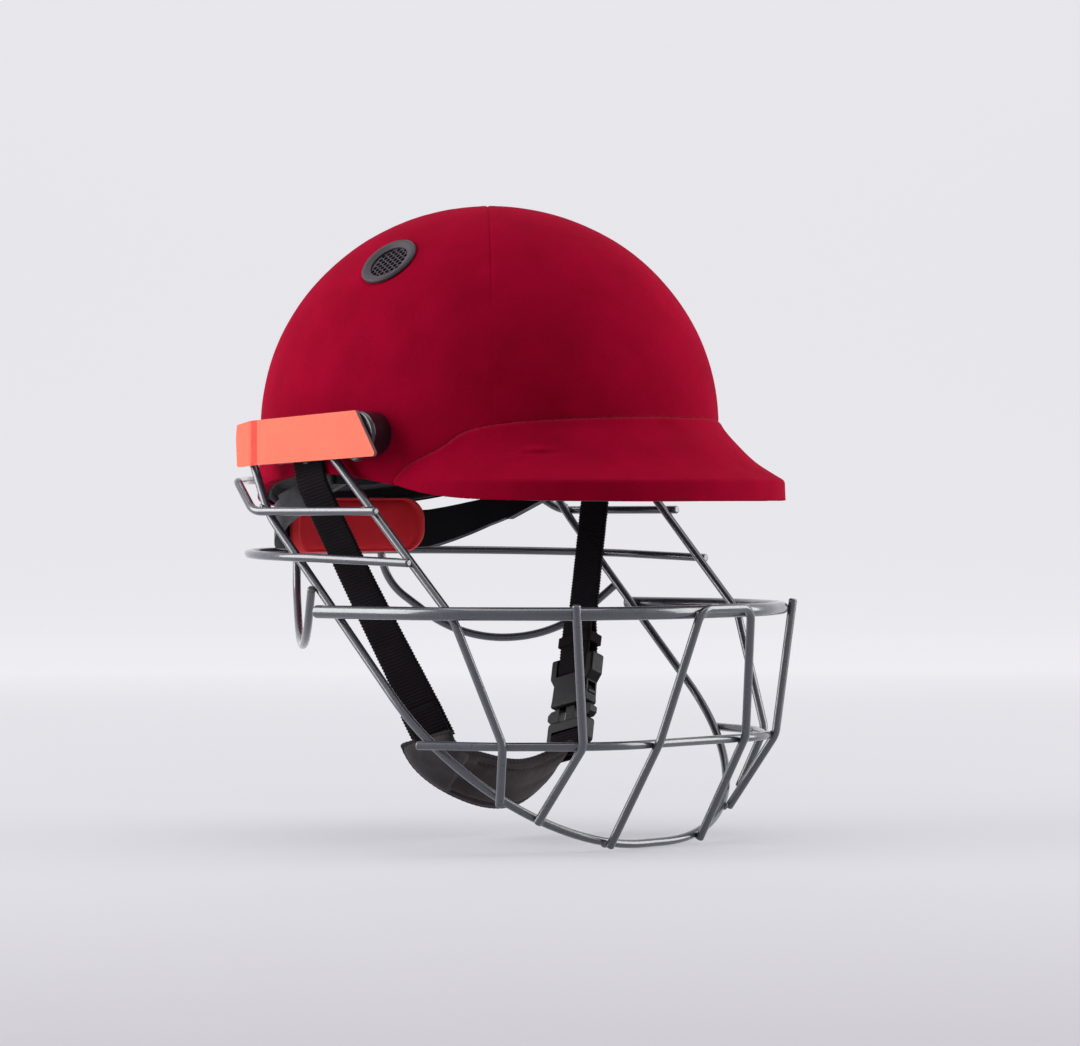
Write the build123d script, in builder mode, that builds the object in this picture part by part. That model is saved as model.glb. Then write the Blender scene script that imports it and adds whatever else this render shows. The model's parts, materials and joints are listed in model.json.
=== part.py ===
# Cricket helmet with a cloth-covered shell, a welded wire guard that goes right round
# the face and neck, a fit cradle at the nape and a buckled chin strap.
# Millimetres. +Z is up, the wearer faces -Y and +X is the wearer's left.
# The origin is the middle of the head opening, level with the peak's lower edge.
import os
from math import cos, radians, sin, sqrt

from build123d import *

os.makedirs("parts", exist_ok=True)

# Dome: half an ellipsoid on a skirt that flares a little at the nape
DOME_HALF_WIDTH = 105.0
DOME_HALF_LENGTH = 125.0
DOME_RISE = 111.5
EQUATOR_Z = 38.0
SKIRT_BOTTOM_Z = -20.0
NAPE_FLARE = 2.5
SHELL_WALL = 3.0
LINER_WALL = 16.0
COMFORT_WALL = 7.0
COVER_WALL = 1.9
GLUE_GAP = 0.1

# Rim of the shell seen from the side, as (y, z)
RIM = [(-190, -1), (-110, 0), (-60, 3), (-27, 9), (5, 13.5), (45, 13), (84, 7), (112, 0), (150, -4)]
RIM_TOOL_CORNERS = [(200, -90), (-240, -90)]
RIM_TOOL_REACH = 170
TRIM_HEIGHT = 13.0
TRIM_DROP = 1.2
TRIM_WALL = 2.4
LINER_EDGE = 7.0
HEM_DROP = 0.5

# Peak: level outlines as (z, centre y, half width, half length)
PEAK_LEVELS = [
    (7, -58, 104.5, 106.8),
    (15, -46.5, 99.5, 104),
    (24, -36, 95.3, 104),
    (33, -27, 95.5, 102),
    (47, -18, 89, 104),
]
PEAK_WALL = 3.0
PEAK_FLOOR_Z = 1.2
PEAK_FLOOR_WALL = 1.6
PEAK_FOOT_GROWTH = 1

# Cloth panels meet on two upright planes through the crown
SEAM_ANGLE = 44.0
SEAM_GAP = 0.12
SEAM_MEETING_RADIUS = 0.6
GORE_REACH = 250
GORE_BOTTOM_Z = -30
GORE_HEIGHT = 200

# Comfort pads as outline centre, outline size and corner radius
CROWN_PAD = ((0, 0), (88, 88), 43)
CROWN_PAD_START_Z = 80
BROW_PAD = ((0, 30), (116, 40), 16)
BACK_PAD = ((0, 44), (104, 46), 16)
TEMPLE_PAD = ((-24, 42), (60, 38), 14)
PAD_REACH = 130

# Vents, one on each side of the crown
VENT_X = 73.5
VENT_Z = 120.5
VENT_TILT = 45.0
VENT_LIP_RADIUS = 15.5
VENT_TUBE_RADIUS = 13.0
VENT_TUBE_WALL = 1.4
VENT_TUBE_DEPTH = 21.0
VENT_MOUTH_RADIUS = 10.6
VENT_BORE_REACH = 30
VENT_MESH_WALL = 1.4
VENT_HOLE_ROWS = 7
VENT_HOLE_PITCH = 2.9
VENT_HOLE_RADIUS = 1.34

# Guard wires
WIRE_END_EASE = 0.22
CHANNEL_EASE = 0.5
WIRE = 4.3
THICK_WIRE = 6.6
SIDE_X = 112.5
RAIL_X = 116.5
UPPER_RAIL_Z = -5.5
VISOR_Z = -55.5
CHIN_BAR_Z = -120.0

# Side brackets, badge plates and their screws
BRACKET_FRONT_Y = -31.0
BRACKET_REAR_Y = 47.0
BRACKET_Z = 31.1
BRACKET_HEIGHT = 23.0
BRACKET_INNER_X = 97.0
BRACKET_FACE_X = 116.5
BRACKET_EASE = 1.6
TAPE_WALL = 0.5
TAPE_MARGINS = (20, 7)
TAPE_SHIFT = (7, -0.4)
PLATE_START_Y = -45
PLATE_BLANK_HEIGHT = 60
PLATE_REACH = 30
PLATE_BEND_RADIUS = 5
PLATE_CORNER = 1.6
PLATE_WALL = 2.0
PLATE_TILT = 3.0
PLATE_BEND_Y = 53.4
PLATE_TAIL = 26.4
PLATE_BEND = 25.0
PLATE_SIDE = [(-21, 44.2), (-35, 21.5), (53.4, 17.6), (72.1, 17), (73.3, 32), (71.9, 38.4), (53.4, 40.2)]
SCREW = 5.0
SCREW_HEAD = 9.0
SCREW_LENGTH = 16
SCREW_HEAD_HEIGHT = 3.0
SCREW_HEAD_EASE = 0.9
SOCKET_RADIUS = 1.7
SOCKET_DEPTH = 1.6
SCREW_BORE_START_X = 92
SCREW_BORE_LENGTH = 30
SCREW_SEAT_X = 112.9
SCREW_Z = 23.5
PIVOT_Y = 23.8
SCREW_YS = (-17.0, PIVOT_Y)
NUT_BARREL = 7.4
NUT_FLANGE = 14.0
NUT_POCKET = 17.0
NUT_FLANGE_DEPTH = 2.6
NUT_FLANGE_REACH = 6
NUT_BARREL_DEPTH = 1.2
NUT_BARREL_RISE = 0.8
NUT_HOLE_LENGTH = 14

# Nape cradle
CRADLE_HALF_WIDTH = 86.0
CRADLE_BACK_Y = 105.6
CRADLE_CORNER = 60.0
CRADLE_WALL = 4.4
CRADLE_SIDE = [
    (34, 1), (72, -14), (94, -25), (112, -27), (112, -6), (94, -5), (80, -1), (66, 2.5), (34, 15)
]
ARM_X = 82.3
ARM_WALL = 3.0
ARM_HEIGHT = 10.0
ARM_SLOPE = 21.8
ARM_FRONT = (20.0, 13.8)
ARM_END_Y = 52.0
FOOT = [(12, 15.8), (12, 8), (23.5, 8), (23.5, 15.8)]
FOOT_REACH = 20
SLEEVE_FRONT_Y = 34.0
SLEEVE_REAR_Y = 64.0
SLEEVE_WALL = 1.0
SLEEVE_RIM = 3.4
CHANNEL_FRONT_RUN = 4
CHANNEL_REAR_STOP = 2.5
BAND_LEAD = 6
BAND_BLANK_DEPTH = -40
BAND_BLANK_HEIGHT = 80
SLIDE_GAP = 0.3
NAPE_PAD_SIZE = (98.0, 30.0)
NAPE_PAD_CORNER = 12
NAPE_PAD_Z = -13.0
NAPE_PAD_WALL = 7.0
DIAL_Z = -11.0
DIAL_RADIUS = 11.5
DIAL_BASE_RADIUS = 12.3
DIAL_BASE_DEPTH = 4.5
DIAL_DEPTH = 6.5
DIAL_GRIPS = 20
SPINDLE = 5.0
DIAL_BASE_FLOOR = 1.2
DIAL_BASE_RIM = 2
PINION_RADIUS = 6.4
PINION_TEETH = 12
PINION_TOOTH = (2.4, 1.8)
PINION_PITCH_RADIUS = 7
PINION_WALL = 2.4
PINION_GAP = 0.3
GRIP_RADIUS = 1.1
GRIP_OFFSET = 0.4
DIAL_EASE = 0.6
DIAL_RECESS = (6, 1)

# Chin strap
WEBBING = 20.0
WEBBING_WALL = 1.8
STRAP_X = 108.1
STRAP_BEND = 15.5
STRAP_LOW = (58.5, -7.0, -104.0)
STRAP_TOP = 10.0
POCKET_X = 109.6
POCKET_RADIUS = 10.6
POCKET_SIDE = 3.5
POCKET_SHIFT = 1
EYELET_RADIUS = 3.5
EYELET_FLANGE = 5.2
EYELET_WALL = 0.35
EYELET_CUT = 4
STRAP_BEND_RADIUS = 15
STRAP_END_EASE = 0.1
RUNNING_GAP = 0.08

# Side-release buckle, measured along the strap from the top of its housing
BUCKLE_ABOVE_LOW = 22.4
HOUSING_HALF = [(0, 0), (15, 0), (15, -11), (12, -15.5), (12.4, -24), (13, -28), (0, -28)]
HOUSING_WALL = 9.0
CAVITY = (21.0, 16.0, 5.5)
WINDOW = (6.0, 7.0)
BAR_SLOT = 3.0
BAR_SLOT_WIDTH = 21.2
BAR_WALL = 4.0
PLUG_TOP = -36.2
PLUG_BOTTOM = -50.0
PLUG_WIDTH = 28.0
PLUG_WALL = 7.0
TONGUE_WIDTH = 6.0
TONGUE_TIP = -15.0
PRONG = [
    (7.6, -35.7), (7.6, -18.5), (8.6, -16.6), (9.6, -16.6), (12.8, -21.2), (12.8, -22.6), (10.1, -22.6),
    (10.1, -28.8), (13.5, -29.2), (15.5, -31), (15.5, -34), (13.6, -35.7),
]
PRONG_WALL = 4.8

# Chin cup: middle line on the right to the left, with width, thickness and forward tilt
CHIN_LINE = [
    (-57.3, -7.7, -106.8),
    (-54, -8, -124),
    (-30, -11, -139.5),
    (-4, -13, -146),
    (22, -12.5, -143.5),
    (37.9, -14.6, -136.1),
]
CHIN_WIDTHS = [22, 33, 31, 31, 31, 26]
CHIN_WALLS = [4, 6, 8, 8.5, 8, 5]
CHIN_TILTS = [13.6, 15, 40, 50, 50, 13.6]
CHIN_EDGE_SHARE = 0.42


def save(builder, name):
    """Label a finished piece and write it."""
    builder.part.label = name
    export_step(builder.part, f"parts/{name}.step")


def save_pair(builder, name):
    """Write a piece made for the left side, and its mirror image for the right."""
    save(builder, f"{name}_left")
    with BuildPart() as opposite:
        mirror(builder.part, about=Plane.YZ)
    save(opposite, f"{name}_right")


def both_halves(points):
    """A closed outline from the points of its right half, top to bottom."""
    return points + [(-x, y) for x, y in reversed(points) if x]


def dome(grow):
    """The dome as one closed solid, its surface moved outwards by grow."""
    ball = Sphere(100, arc_size1=0, arc_size2=90, align=(Align.CENTER, Align.CENTER, Align.MIN))
    half_axes = (DOME_HALF_WIDTH + grow, DOME_HALF_LENGTH + grow, DOME_RISE + grow)
    cap = Pos(0, 0, EQUATOR_Z) * scale(ball, by=tuple(half / 100 for half in half_axes))
    with BuildPart() as solid:
        add(cap)
        with BuildSketch(Plane.XY.offset(EQUATOR_Z)):
            Ellipse(DOME_HALF_WIDTH + grow, DOME_HALF_LENGTH + grow)
        with BuildSketch(Plane.XY.offset(SKIRT_BOTTOM_Z)):
            with Locations((0, NAPE_FLARE)):
                Ellipse(DOME_HALF_WIDTH + grow, DOME_HALF_LENGTH + NAPE_FLARE + grow)
        loft()
    return solid.part


def dome_x(grow, y):
    """How far out the dome's side is at y, below the widest level."""
    return (DOME_HALF_WIDTH + grow) * sqrt(1 - (y / (DOME_HALF_LENGTH + grow)) ** 2)


def peak_block(grow):
    """The peak as one closed solid that runs back into the dome."""
    first = PEAK_LEVELS[0]
    with BuildPart() as solid:
        with BuildSketch(Plane.XY.offset(SKIRT_BOTTOM_Z)):
            with Locations((0, first[1])):
                Ellipse(first[2] + PEAK_FOOT_GROWTH + grow, first[3] + PEAK_FOOT_GROWTH + grow)
        with BuildSketch(Plane.XY.offset(first[0] + grow)):
            with Locations((0, first[1])):
                Ellipse(first[2] + grow, first[3] + grow)
        loft()
        for z, centre_y, half_width, half_length in PEAK_LEVELS:
            with BuildSketch(Plane.XY.offset(z + grow)):
                with Locations((0, centre_y)):
                    Ellipse(half_width + grow, half_length + grow)
        loft()
    return solid.part


def below_rim(shift):
    """Everything under the rim's side view, moved up by shift."""
    with BuildPart() as tool:
        with BuildSketch(Plane.YZ):
            with BuildLine():
                edge = Spline(*[(y, z + shift) for y, z in RIM])
                Polyline(edge @ 1, *RIM_TOOL_CORNERS, edge @ 0)
            make_face()
        extrude(amount=RIM_TOOL_REACH, both=True)
    return tool.part


def vent_plane(side):
    """Plane on the cover at a vent, with its normal pointing outwards."""
    tilt = radians(VENT_TILT)
    return Plane((side * VENT_X, 0, VENT_Z), x_dir=(0, 1, 0), z_dir=(side * sin(tilt), 0, cos(tilt)))


def vent_bores(radius):
    """Cylinders through both vents."""
    with BuildPart() as tool:
        for side in (1, -1):
            with BuildSketch(vent_plane(side)):
                Circle(radius)
            extrude(amount=VENT_BORE_REACH, both=True)
    return tool.part


def screw_bores(radius):
    """Cylinders along X through both side walls at every side screw."""
    with BuildPart() as tool:
        for side in (1, -1):
            with BuildSketch(Plane.YZ.offset(side * SCREW_BORE_START_X)):
                with Locations(*[(y, SCREW_Z) for y in SCREW_YS]):
                    Circle(radius)
            extrude(amount=side * SCREW_BORE_LENGTH)
    return tool.part


def rod(start, stop, diameter):
    """A straight round bar along a wire's run, a little longer at each end."""
    run = Vector(*stop) - Vector(*start)
    with BuildPart() as bar:
        with BuildSketch(Plane(Vector(*start) - run.normalized() * CHANNEL_EASE, z_dir=run)):
            Circle(diameter / 2)
        extrude(amount=run.length + 2 * CHANNEL_EASE)
    return bar.part


COVER_OUTER = dome(COVER_WALL + GLUE_GAP)
COVER_CLEAR = dome(COVER_WALL + 2 * GLUE_GAP)
COVER_INNER = dome(GLUE_GAP)
SHELL_OUTER = dome(0)
SHELL_INNER = dome(-SHELL_WALL)
TRIM_OUTER = dome(-SHELL_WALL - GLUE_GAP)
TRIM_INNER = dome(-SHELL_WALL - GLUE_GAP - TRIM_WALL)
LINER_OUTER = dome(-SHELL_WALL - 2 * GLUE_GAP - TRIM_WALL)
LINER_INNER = dome(-SHELL_WALL - LINER_WALL)
PAD_OUTER = dome(-SHELL_WALL - LINER_WALL - GLUE_GAP)
PAD_INNER = dome(-SHELL_WALL - LINER_WALL - COMFORT_WALL)
PEAK_OUTER = peak_block(0)
PEAK_INNER = peak_block(-PEAK_WALL)
PEAK_COVER_OUTER = peak_block(COVER_WALL + GLUE_GAP)
PEAK_COVER_CLEAR = peak_block(COVER_WALL + 2 * GLUE_GAP)
PEAK_COVER_INNER = peak_block(GLUE_GAP)
UNDER_RIM = below_rim(0)
UNDER_HEM = below_rim(-HEM_DROP)
UNDER_TRIM = below_rim(-TRIM_DROP)
UNDER_TRIM_TOP = below_rim(TRIM_HEIGHT)
UNDER_LINER = below_rim(LINER_EDGE)
VENT_BORES = vent_bores(VENT_TUBE_RADIUS + GLUE_GAP)
VENT_CLOTH_BORES = vent_bores(VENT_TUBE_RADIUS + 6 * GLUE_GAP)
NUT_BORES = screw_bores(NUT_BARREL / 2 + GLUE_GAP)
NUT_POCKETS = screw_bores(NUT_POCKET / 2)
CLOTH_BORES = screw_bores(SCREW / 2 + 6 * GLUE_GAP)

# Outer shell, a moulded dome with vent and screw holes
with BuildPart() as outer_shell:
    add(SHELL_OUTER)
    add(SHELL_INNER, mode=Mode.SUBTRACT)
    add(UNDER_RIM, mode=Mode.SUBTRACT)
    add(VENT_BORES, mode=Mode.SUBTRACT)
    add(NUT_BORES, mode=Mode.SUBTRACT)
save(outer_shell, "outer_shell")

# Peak, a moulded tray bonded to the front of the dome
with BuildPart() as peak:
    add(PEAK_OUTER)
    add(PEAK_INNER, mode=Mode.SUBTRACT)
    add(COVER_INNER, mode=Mode.SUBTRACT)
    add(UNDER_RIM, mode=Mode.SUBTRACT)
save(peak, "peak")

# Cloth-covered board that closes the underside of the peak
with BuildPart() as peak_floor:
    with BuildSketch(Plane.XY.offset(PEAK_FLOOR_Z)):
        with Locations((0, PEAK_LEVELS[0][1])):
            Ellipse(PEAK_LEVELS[0][2] - PEAK_WALL, PEAK_LEVELS[0][3] - PEAK_WALL)
    extrude(amount=PEAK_FLOOR_WALL)
    add(PEAK_INNER, mode=Mode.INTERSECT)
    add(COVER_INNER, mode=Mode.SUBTRACT)
    add(UNDER_RIM, mode=Mode.SUBTRACT)
save(peak_floor, "peak_floor")

# Peak cover, one cloth panel over the top and the rim of the peak
with BuildPart() as peak_cover:
    add(PEAK_COVER_OUTER)
    add(PEAK_COVER_INNER, mode=Mode.SUBTRACT)
    add(COVER_INNER, mode=Mode.SUBTRACT)
    add(UNDER_HEM, mode=Mode.SUBTRACT)
save(peak_cover, "peak_cover")

# Crown cover, four cloth gores that meet at the crown
with BuildPart() as crown_cloth:
    add(COVER_OUTER)
    add(COVER_INNER, mode=Mode.SUBTRACT)
    add(PEAK_COVER_CLEAR, mode=Mode.SUBTRACT)
    add(UNDER_HEM, mode=Mode.SUBTRACT)
    add(VENT_CLOTH_BORES, mode=Mode.SUBTRACT)
    add(CLOTH_BORES, mode=Mode.SUBTRACT)
    with BuildSketch(Plane.XY.offset(EQUATOR_Z)):
        Circle(SEAM_MEETING_RADIUS)
    extrude(amount=GORE_HEIGHT, mode=Mode.SUBTRACT)


def gore(first_angle, second_angle):
    """One gore of the crown, between two upright planes given by their plan angles."""
    middle = radians((first_angle + second_angle) / 2)
    apex = (SEAM_GAP * cos(middle), SEAM_GAP * sin(middle))
    corners = [
        (apex[0] + GORE_REACH * cos(radians(angle)), apex[1] + GORE_REACH * sin(radians(angle)))
        for angle in (first_angle, (first_angle + second_angle) / 2, second_angle)
    ]
    with BuildPart() as panel:
        with BuildSketch(Plane.XY.offset(GORE_BOTTOM_Z)):
            with BuildLine():
                Polyline(apex, *corners, close=True)
            make_face()
        extrude(amount=GORE_HEIGHT)
        add(crown_cloth.part, mode=Mode.INTERSECT)
    return panel


for gore_name, start, stop in (
    ("left", -SEAM_ANGLE, SEAM_ANGLE),
    ("back", SEAM_ANGLE, 180 - SEAM_ANGLE),
    ("right", 180 - SEAM_ANGLE, 180 + SEAM_ANGLE),
    ("front", 180 + SEAM_ANGLE, 360 - SEAM_ANGLE),
):
    save(gore(start, stop), f"crown_cover_{gore_name}")

# Soft binding bonded inside the rim
with BuildPart() as rim_trim:
    add(TRIM_OUTER)
    add(TRIM_INNER, mode=Mode.SUBTRACT)
    add(UNDER_TRIM, mode=Mode.SUBTRACT)
    add(UNDER_TRIM_TOP, mode=Mode.INTERSECT)
    add(NUT_POCKETS, mode=Mode.SUBTRACT)
save(rim_trim, "rim_trim")

# Energy-absorbing foam liner
with BuildPart() as foam_liner:
    add(LINER_OUTER)
    add(LINER_INNER, mode=Mode.SUBTRACT)
    add(UNDER_LINER, mode=Mode.SUBTRACT)
    add(VENT_BORES, mode=Mode.SUBTRACT)
    add(NUT_POCKETS, mode=Mode.SUBTRACT)
save(foam_liner, "foam_liner")


def comfort_pad(outline_plane, centre, outline_size, corner):
    """A pad on the foam, cut to a rounded outline pushed out along its plane's normal."""
    with BuildPart() as pad:
        with BuildSketch(outline_plane):
            with Locations(centre):
                RectangleRounded(*outline_size, corner)
        extrude(amount=PAD_REACH)
        add(PAD_OUTER, mode=Mode.INTERSECT)
        add(PAD_INNER, mode=Mode.SUBTRACT)
    return pad


# Comfort pads inside the foam: crown, brow, back and temples
BACKWARD = Plane((0, 0, 0), x_dir=(-1, 0, 0), z_dir=(0, 1, 0))
save(comfort_pad(Plane.XY.offset(CROWN_PAD_START_Z), *CROWN_PAD), "crown_pad")
save(comfort_pad(Plane.XZ, *BROW_PAD), "brow_pad")
save(comfort_pad(BACKWARD, *BACK_PAD), "back_pad")
save_pair(comfort_pad(Plane.YZ, *TEMPLE_PAD), "temple_pad")

# Vent grommets, each a dished lip on a tube through the shell and liner
VENT_SEAT = vent_plane(1)
VENT_SECTION = Plane(VENT_SEAT.origin, x_dir=VENT_SEAT.x_dir, z_dir=VENT_SEAT.y_dir * -1)
LIP_RISE = 0.9
LIP_HEEL = 1.5
LIP_STEP = 0.1
LIP_LAND = 2.4
MOUTH_WALL = 0.8
DISH_DEPTH = 1.2
RELIEF_MARGIN = 2
with BuildPart() as lip_relief:
    with BuildSketch(VENT_SEAT.offset(-2 * LIP_HEEL)):
        Circle(VENT_LIP_RADIUS + RELIEF_MARGIN)
        Circle(VENT_TUBE_RADIUS + GLUE_GAP / 2, mode=Mode.SUBTRACT)
    extrude(amount=4 * LIP_HEEL)
    add(COVER_CLEAR, mode=Mode.INTERSECT)
with BuildPart() as vent_ring:
    with BuildSketch(VENT_SECTION):
        with BuildLine():
            Polyline(
                (VENT_LIP_RADIUS, -LIP_HEEL),
                (VENT_LIP_RADIUS, LIP_STEP),
                (VENT_LIP_RADIUS - LIP_RISE, LIP_RISE),
                (VENT_LIP_RADIUS - LIP_LAND, LIP_RISE),
                (VENT_MOUTH_RADIUS, MOUTH_WALL - DISH_DEPTH),
                (VENT_MOUTH_RADIUS, -DISH_DEPTH),
                (VENT_TUBE_RADIUS - VENT_TUBE_WALL, -DISH_DEPTH),
                (VENT_TUBE_RADIUS - VENT_TUBE_WALL, -VENT_TUBE_DEPTH),
                (VENT_TUBE_RADIUS, -VENT_TUBE_DEPTH),
                (VENT_TUBE_RADIUS, -LIP_HEEL),
                close=True,
            )
        make_face()
    revolve(axis=Axis(VENT_SEAT.origin, VENT_SEAT.z_dir))
    add(lip_relief.part, mode=Mode.SUBTRACT)
save_pair(vent_ring, "vent_ring")

# Vent meshes, a disc of hexagonal holes behind each lip
with BuildPart() as vent_mesh:
    with BuildSketch(VENT_SEAT.offset(-DISH_DEPTH - GLUE_GAP - VENT_MESH_WALL)):
        Circle(VENT_TUBE_RADIUS - VENT_TUBE_WALL - GLUE_GAP / 2)
        with HexLocations(VENT_HOLE_PITCH / 2, VENT_HOLE_ROWS, VENT_HOLE_ROWS):
            RegularPolygon(VENT_HOLE_RADIUS, 6, mode=Mode.SUBTRACT)
    extrude(amount=VENT_MESH_WALL)
save_pair(vent_mesh, "vent_mesh")


def wire(points, radii, diameter):
    """A round wire along straight runs joined by tangent arcs, with eased ends."""
    with BuildPart() as piece:
        with BuildLine() as path:
            FilletPolyline(*points, radius=radii)
        with BuildSketch(Plane(path.line @ 0, z_dir=path.line % 0)):
            Circle(diameter / 2)
        sweep(path=path.line)
        ends = piece.faces().filter_by(GeomType.PLANE)
        fillet(ends.edges(), diameter * WIRE_END_EASE)
    return piece


def mirrored_wire(left_points, left_radii, diameter):
    """A wire that crosses the middle and is the same on both sides."""
    right_points = [(-x, y, z) for x, y, z in reversed(left_points)]
    return wire(left_points + right_points, left_radii + left_radii[::-1], diameter)


FRAME_WIRE = [(110.5, -22, 38.5), (106, 71, 34.5), (113, 46.5, -7), (SIDE_X, -111.5, -171.5)]
FRAME_RADII = [8, 60, 104]
STRUT = [(112.6, 16, 35.8), (108.6, -77, -58.5), (100.5, -101.7, -119), (91.8, -91.5, -149.5)]
STRUT_RADII = [25, 8]
VISOR_BAR = [(118.2, 8, VISOR_Z), (118.2, -71, VISOR_Z), (83, -131.5, VISOR_Z), (36, -154, VISOR_Z)]
VISOR_RADII = [90, 70, 70]
CHIN_BAR = [(113.8, -57, CHIN_BAR_Z), (98.6, -97.6, CHIN_BAR_Z), (62, -138.4, CHIN_BAR_Z)]
CHIN_RADII = [50, 50]
UPPER_RAIL = [(114.8, -31, UPPER_RAIL_Z), (RAIL_X, 54, UPPER_RAIL_Z), (106, 76, 9.5), (43, 134.5, 11)]
UPPER_RADII = [16, 12, 70]
MIDDLE_RAIL = [(113.4, -52, -31), (117, 11, -28.8), (117, 113, -26.6)]
MIDDLE_RADII = [200, 94]
NECK_LOOP = [(31, 108.9, -22), (34, 106.6, -44), (62, 76, -75.5), (96, 37, -72.5), (117, 12, -44)]
NECK_RADII = [32, 70, 72]
UPRIGHT = [(83.5, -134.5, -51), (74, -130.3, -120), (73.5, -99.5, -158.5)]
UPRIGHT_RADII = [10]
CENTRE_WIRE = [(34.5, -112.3, -172), (33, -144.2, -118.5), (19, -159.4, -54)]
CENTRE_RADII = [10, 8]

save(mirrored_wire(FRAME_WIRE, FRAME_RADII, WIRE), "guard_frame_wire")
save(mirrored_wire(VISOR_BAR, VISOR_RADII, THICK_WIRE), "guard_visor_bar")
save(mirrored_wire(CHIN_BAR, CHIN_RADII, WIRE), "guard_chin_bar")
save(mirrored_wire(UPPER_RAIL, UPPER_RADII, WIRE), "guard_upper_rail")
save(mirrored_wire(MIDDLE_RAIL, MIDDLE_RADII, WIRE), "guard_middle_rail")
save(mirrored_wire(CENTRE_WIRE, CENTRE_RADII, WIRE), "guard_centre_wire")
save_pair(wire(STRUT, STRUT_RADII, WIRE), "guard_strut")
save_pair(wire(UPRIGHT, UPRIGHT_RADII, WIRE), "guard_upright")
save_pair(wire(NECK_LOOP, NECK_RADII, WIRE), "guard_neck_loop")

# Side brackets, moulded round the ends of the guard, with a pocket for the strap end
SCREW_PLACES = [(y, SCREW_Z) for y in SCREW_YS]
BRACKET_Y = (BRACKET_FRONT_Y + BRACKET_REAR_Y) / 2
BRACKET_LENGTH = BRACKET_REAR_Y - BRACKET_FRONT_Y
FRAME_CHANNEL = rod(FRAME_WIRE[0], FRAME_WIRE[1], WIRE + 2 * GLUE_GAP)
STRUT_CHANNEL = rod(STRUT[0], STRUT[1], WIRE + 2 * GLUE_GAP)
with BuildPart() as side_bracket:
    with BuildSketch(Plane.YZ.offset(BRACKET_INNER_X)):
        with Locations((BRACKET_Y, BRACKET_Z)):
            SlotOverall(BRACKET_LENGTH, BRACKET_HEIGHT, rotation=-PLATE_TILT)
    extrude(amount=BRACKET_FACE_X - BRACKET_INNER_X)
    fillet(side_bracket.faces().sort_by(Axis.X)[-1].edges(), BRACKET_EASE)
    add(COVER_CLEAR, mode=Mode.SUBTRACT)
    add(FRAME_CHANNEL, mode=Mode.SUBTRACT)
    add(STRUT_CHANNEL, mode=Mode.SUBTRACT)
    with BuildSketch(Plane.YZ.offset(BRACKET_INNER_X)):
        with Locations((PIVOT_Y, SCREW_Z)):
            Circle(POCKET_RADIUS)
        with Locations((PIVOT_Y - POCKET_SHIFT, SCREW_Z)):
            Rectangle(
                2 * (POCKET_RADIUS + POCKET_SIDE),
                2 * POCKET_RADIUS,
                align=(Align.CENTER, Align.MAX),
            )
    extrude(amount=POCKET_X - BRACKET_INNER_X, mode=Mode.SUBTRACT)
    with BuildSketch(Plane.YZ.offset(BRACKET_INNER_X)):
        with Locations(*SCREW_PLACES):
            Circle(SCREW / 2 + GLUE_GAP)
    extrude(amount=BRACKET_FACE_X - BRACKET_INNER_X, mode=Mode.SUBTRACT)
    with BuildSketch(Plane.YZ.offset(SCREW_SEAT_X)):
        with Locations(*SCREW_PLACES):
            Circle(SCREW_HEAD / 2 + 4 * GLUE_GAP)
    extrude(amount=BRACKET_FACE_X - SCREW_SEAT_X, mode=Mode.SUBTRACT)
save_pair(side_bracket, "side_bracket")

# Pan-head screws through the brackets, and the barrel nuts behind the shell
with BuildPart() as bracket_screws:
    with BuildSketch(Plane.YZ.offset(SCREW_SEAT_X)):
        with Locations(*SCREW_PLACES):
            Circle(SCREW_HEAD / 2)
    extrude(amount=SCREW_HEAD_HEIGHT)
    fillet(bracket_screws.faces().filter_by(Axis.X).group_by(Axis.X)[-1].edges(), SCREW_HEAD_EASE)
    with BuildSketch(Plane.YZ.offset(SCREW_SEAT_X + SCREW_HEAD_HEIGHT)):
        with Locations(*SCREW_PLACES):
            RegularPolygon(SOCKET_RADIUS, 6)
    extrude(amount=-SOCKET_DEPTH, mode=Mode.SUBTRACT)
    with BuildSketch(Plane.YZ.offset(SCREW_SEAT_X)):
        with Locations(*SCREW_PLACES):
            Circle(SCREW / 2)
    extrude(amount=-SCREW_LENGTH)
save_pair(bracket_screws, "bracket_screws")

with BuildPart() as bracket_nuts:
    for y in SCREW_YS:
        inner_x = dome_x(-SHELL_WALL, y)
        with BuildSketch(Plane.YZ.offset(inner_x - NUT_FLANGE_DEPTH)):
            with Locations((y, SCREW_Z)):
                Circle(NUT_FLANGE / 2)
        extrude(amount=NUT_FLANGE_REACH)
    add(TRIM_OUTER, mode=Mode.INTERSECT)
    for y in SCREW_YS:
        inner_x = dome_x(-SHELL_WALL, y)
        with BuildSketch(Plane.YZ.offset(inner_x - NUT_BARREL_DEPTH)):
            with Locations((y, SCREW_Z)):
                Circle(NUT_BARREL / 2)
        extrude(amount=SHELL_WALL + NUT_BARREL_RISE)
    with BuildSketch(Plane.YZ.offset(SCREW_BORE_START_X)):
        with Locations(*SCREW_PLACES):
            Circle(SCREW / 2 + GLUE_GAP / 2)
    extrude(amount=NUT_HOLE_LENGTH, mode=Mode.SUBTRACT)
save_pair(bracket_nuts, "bracket_nuts")

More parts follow.
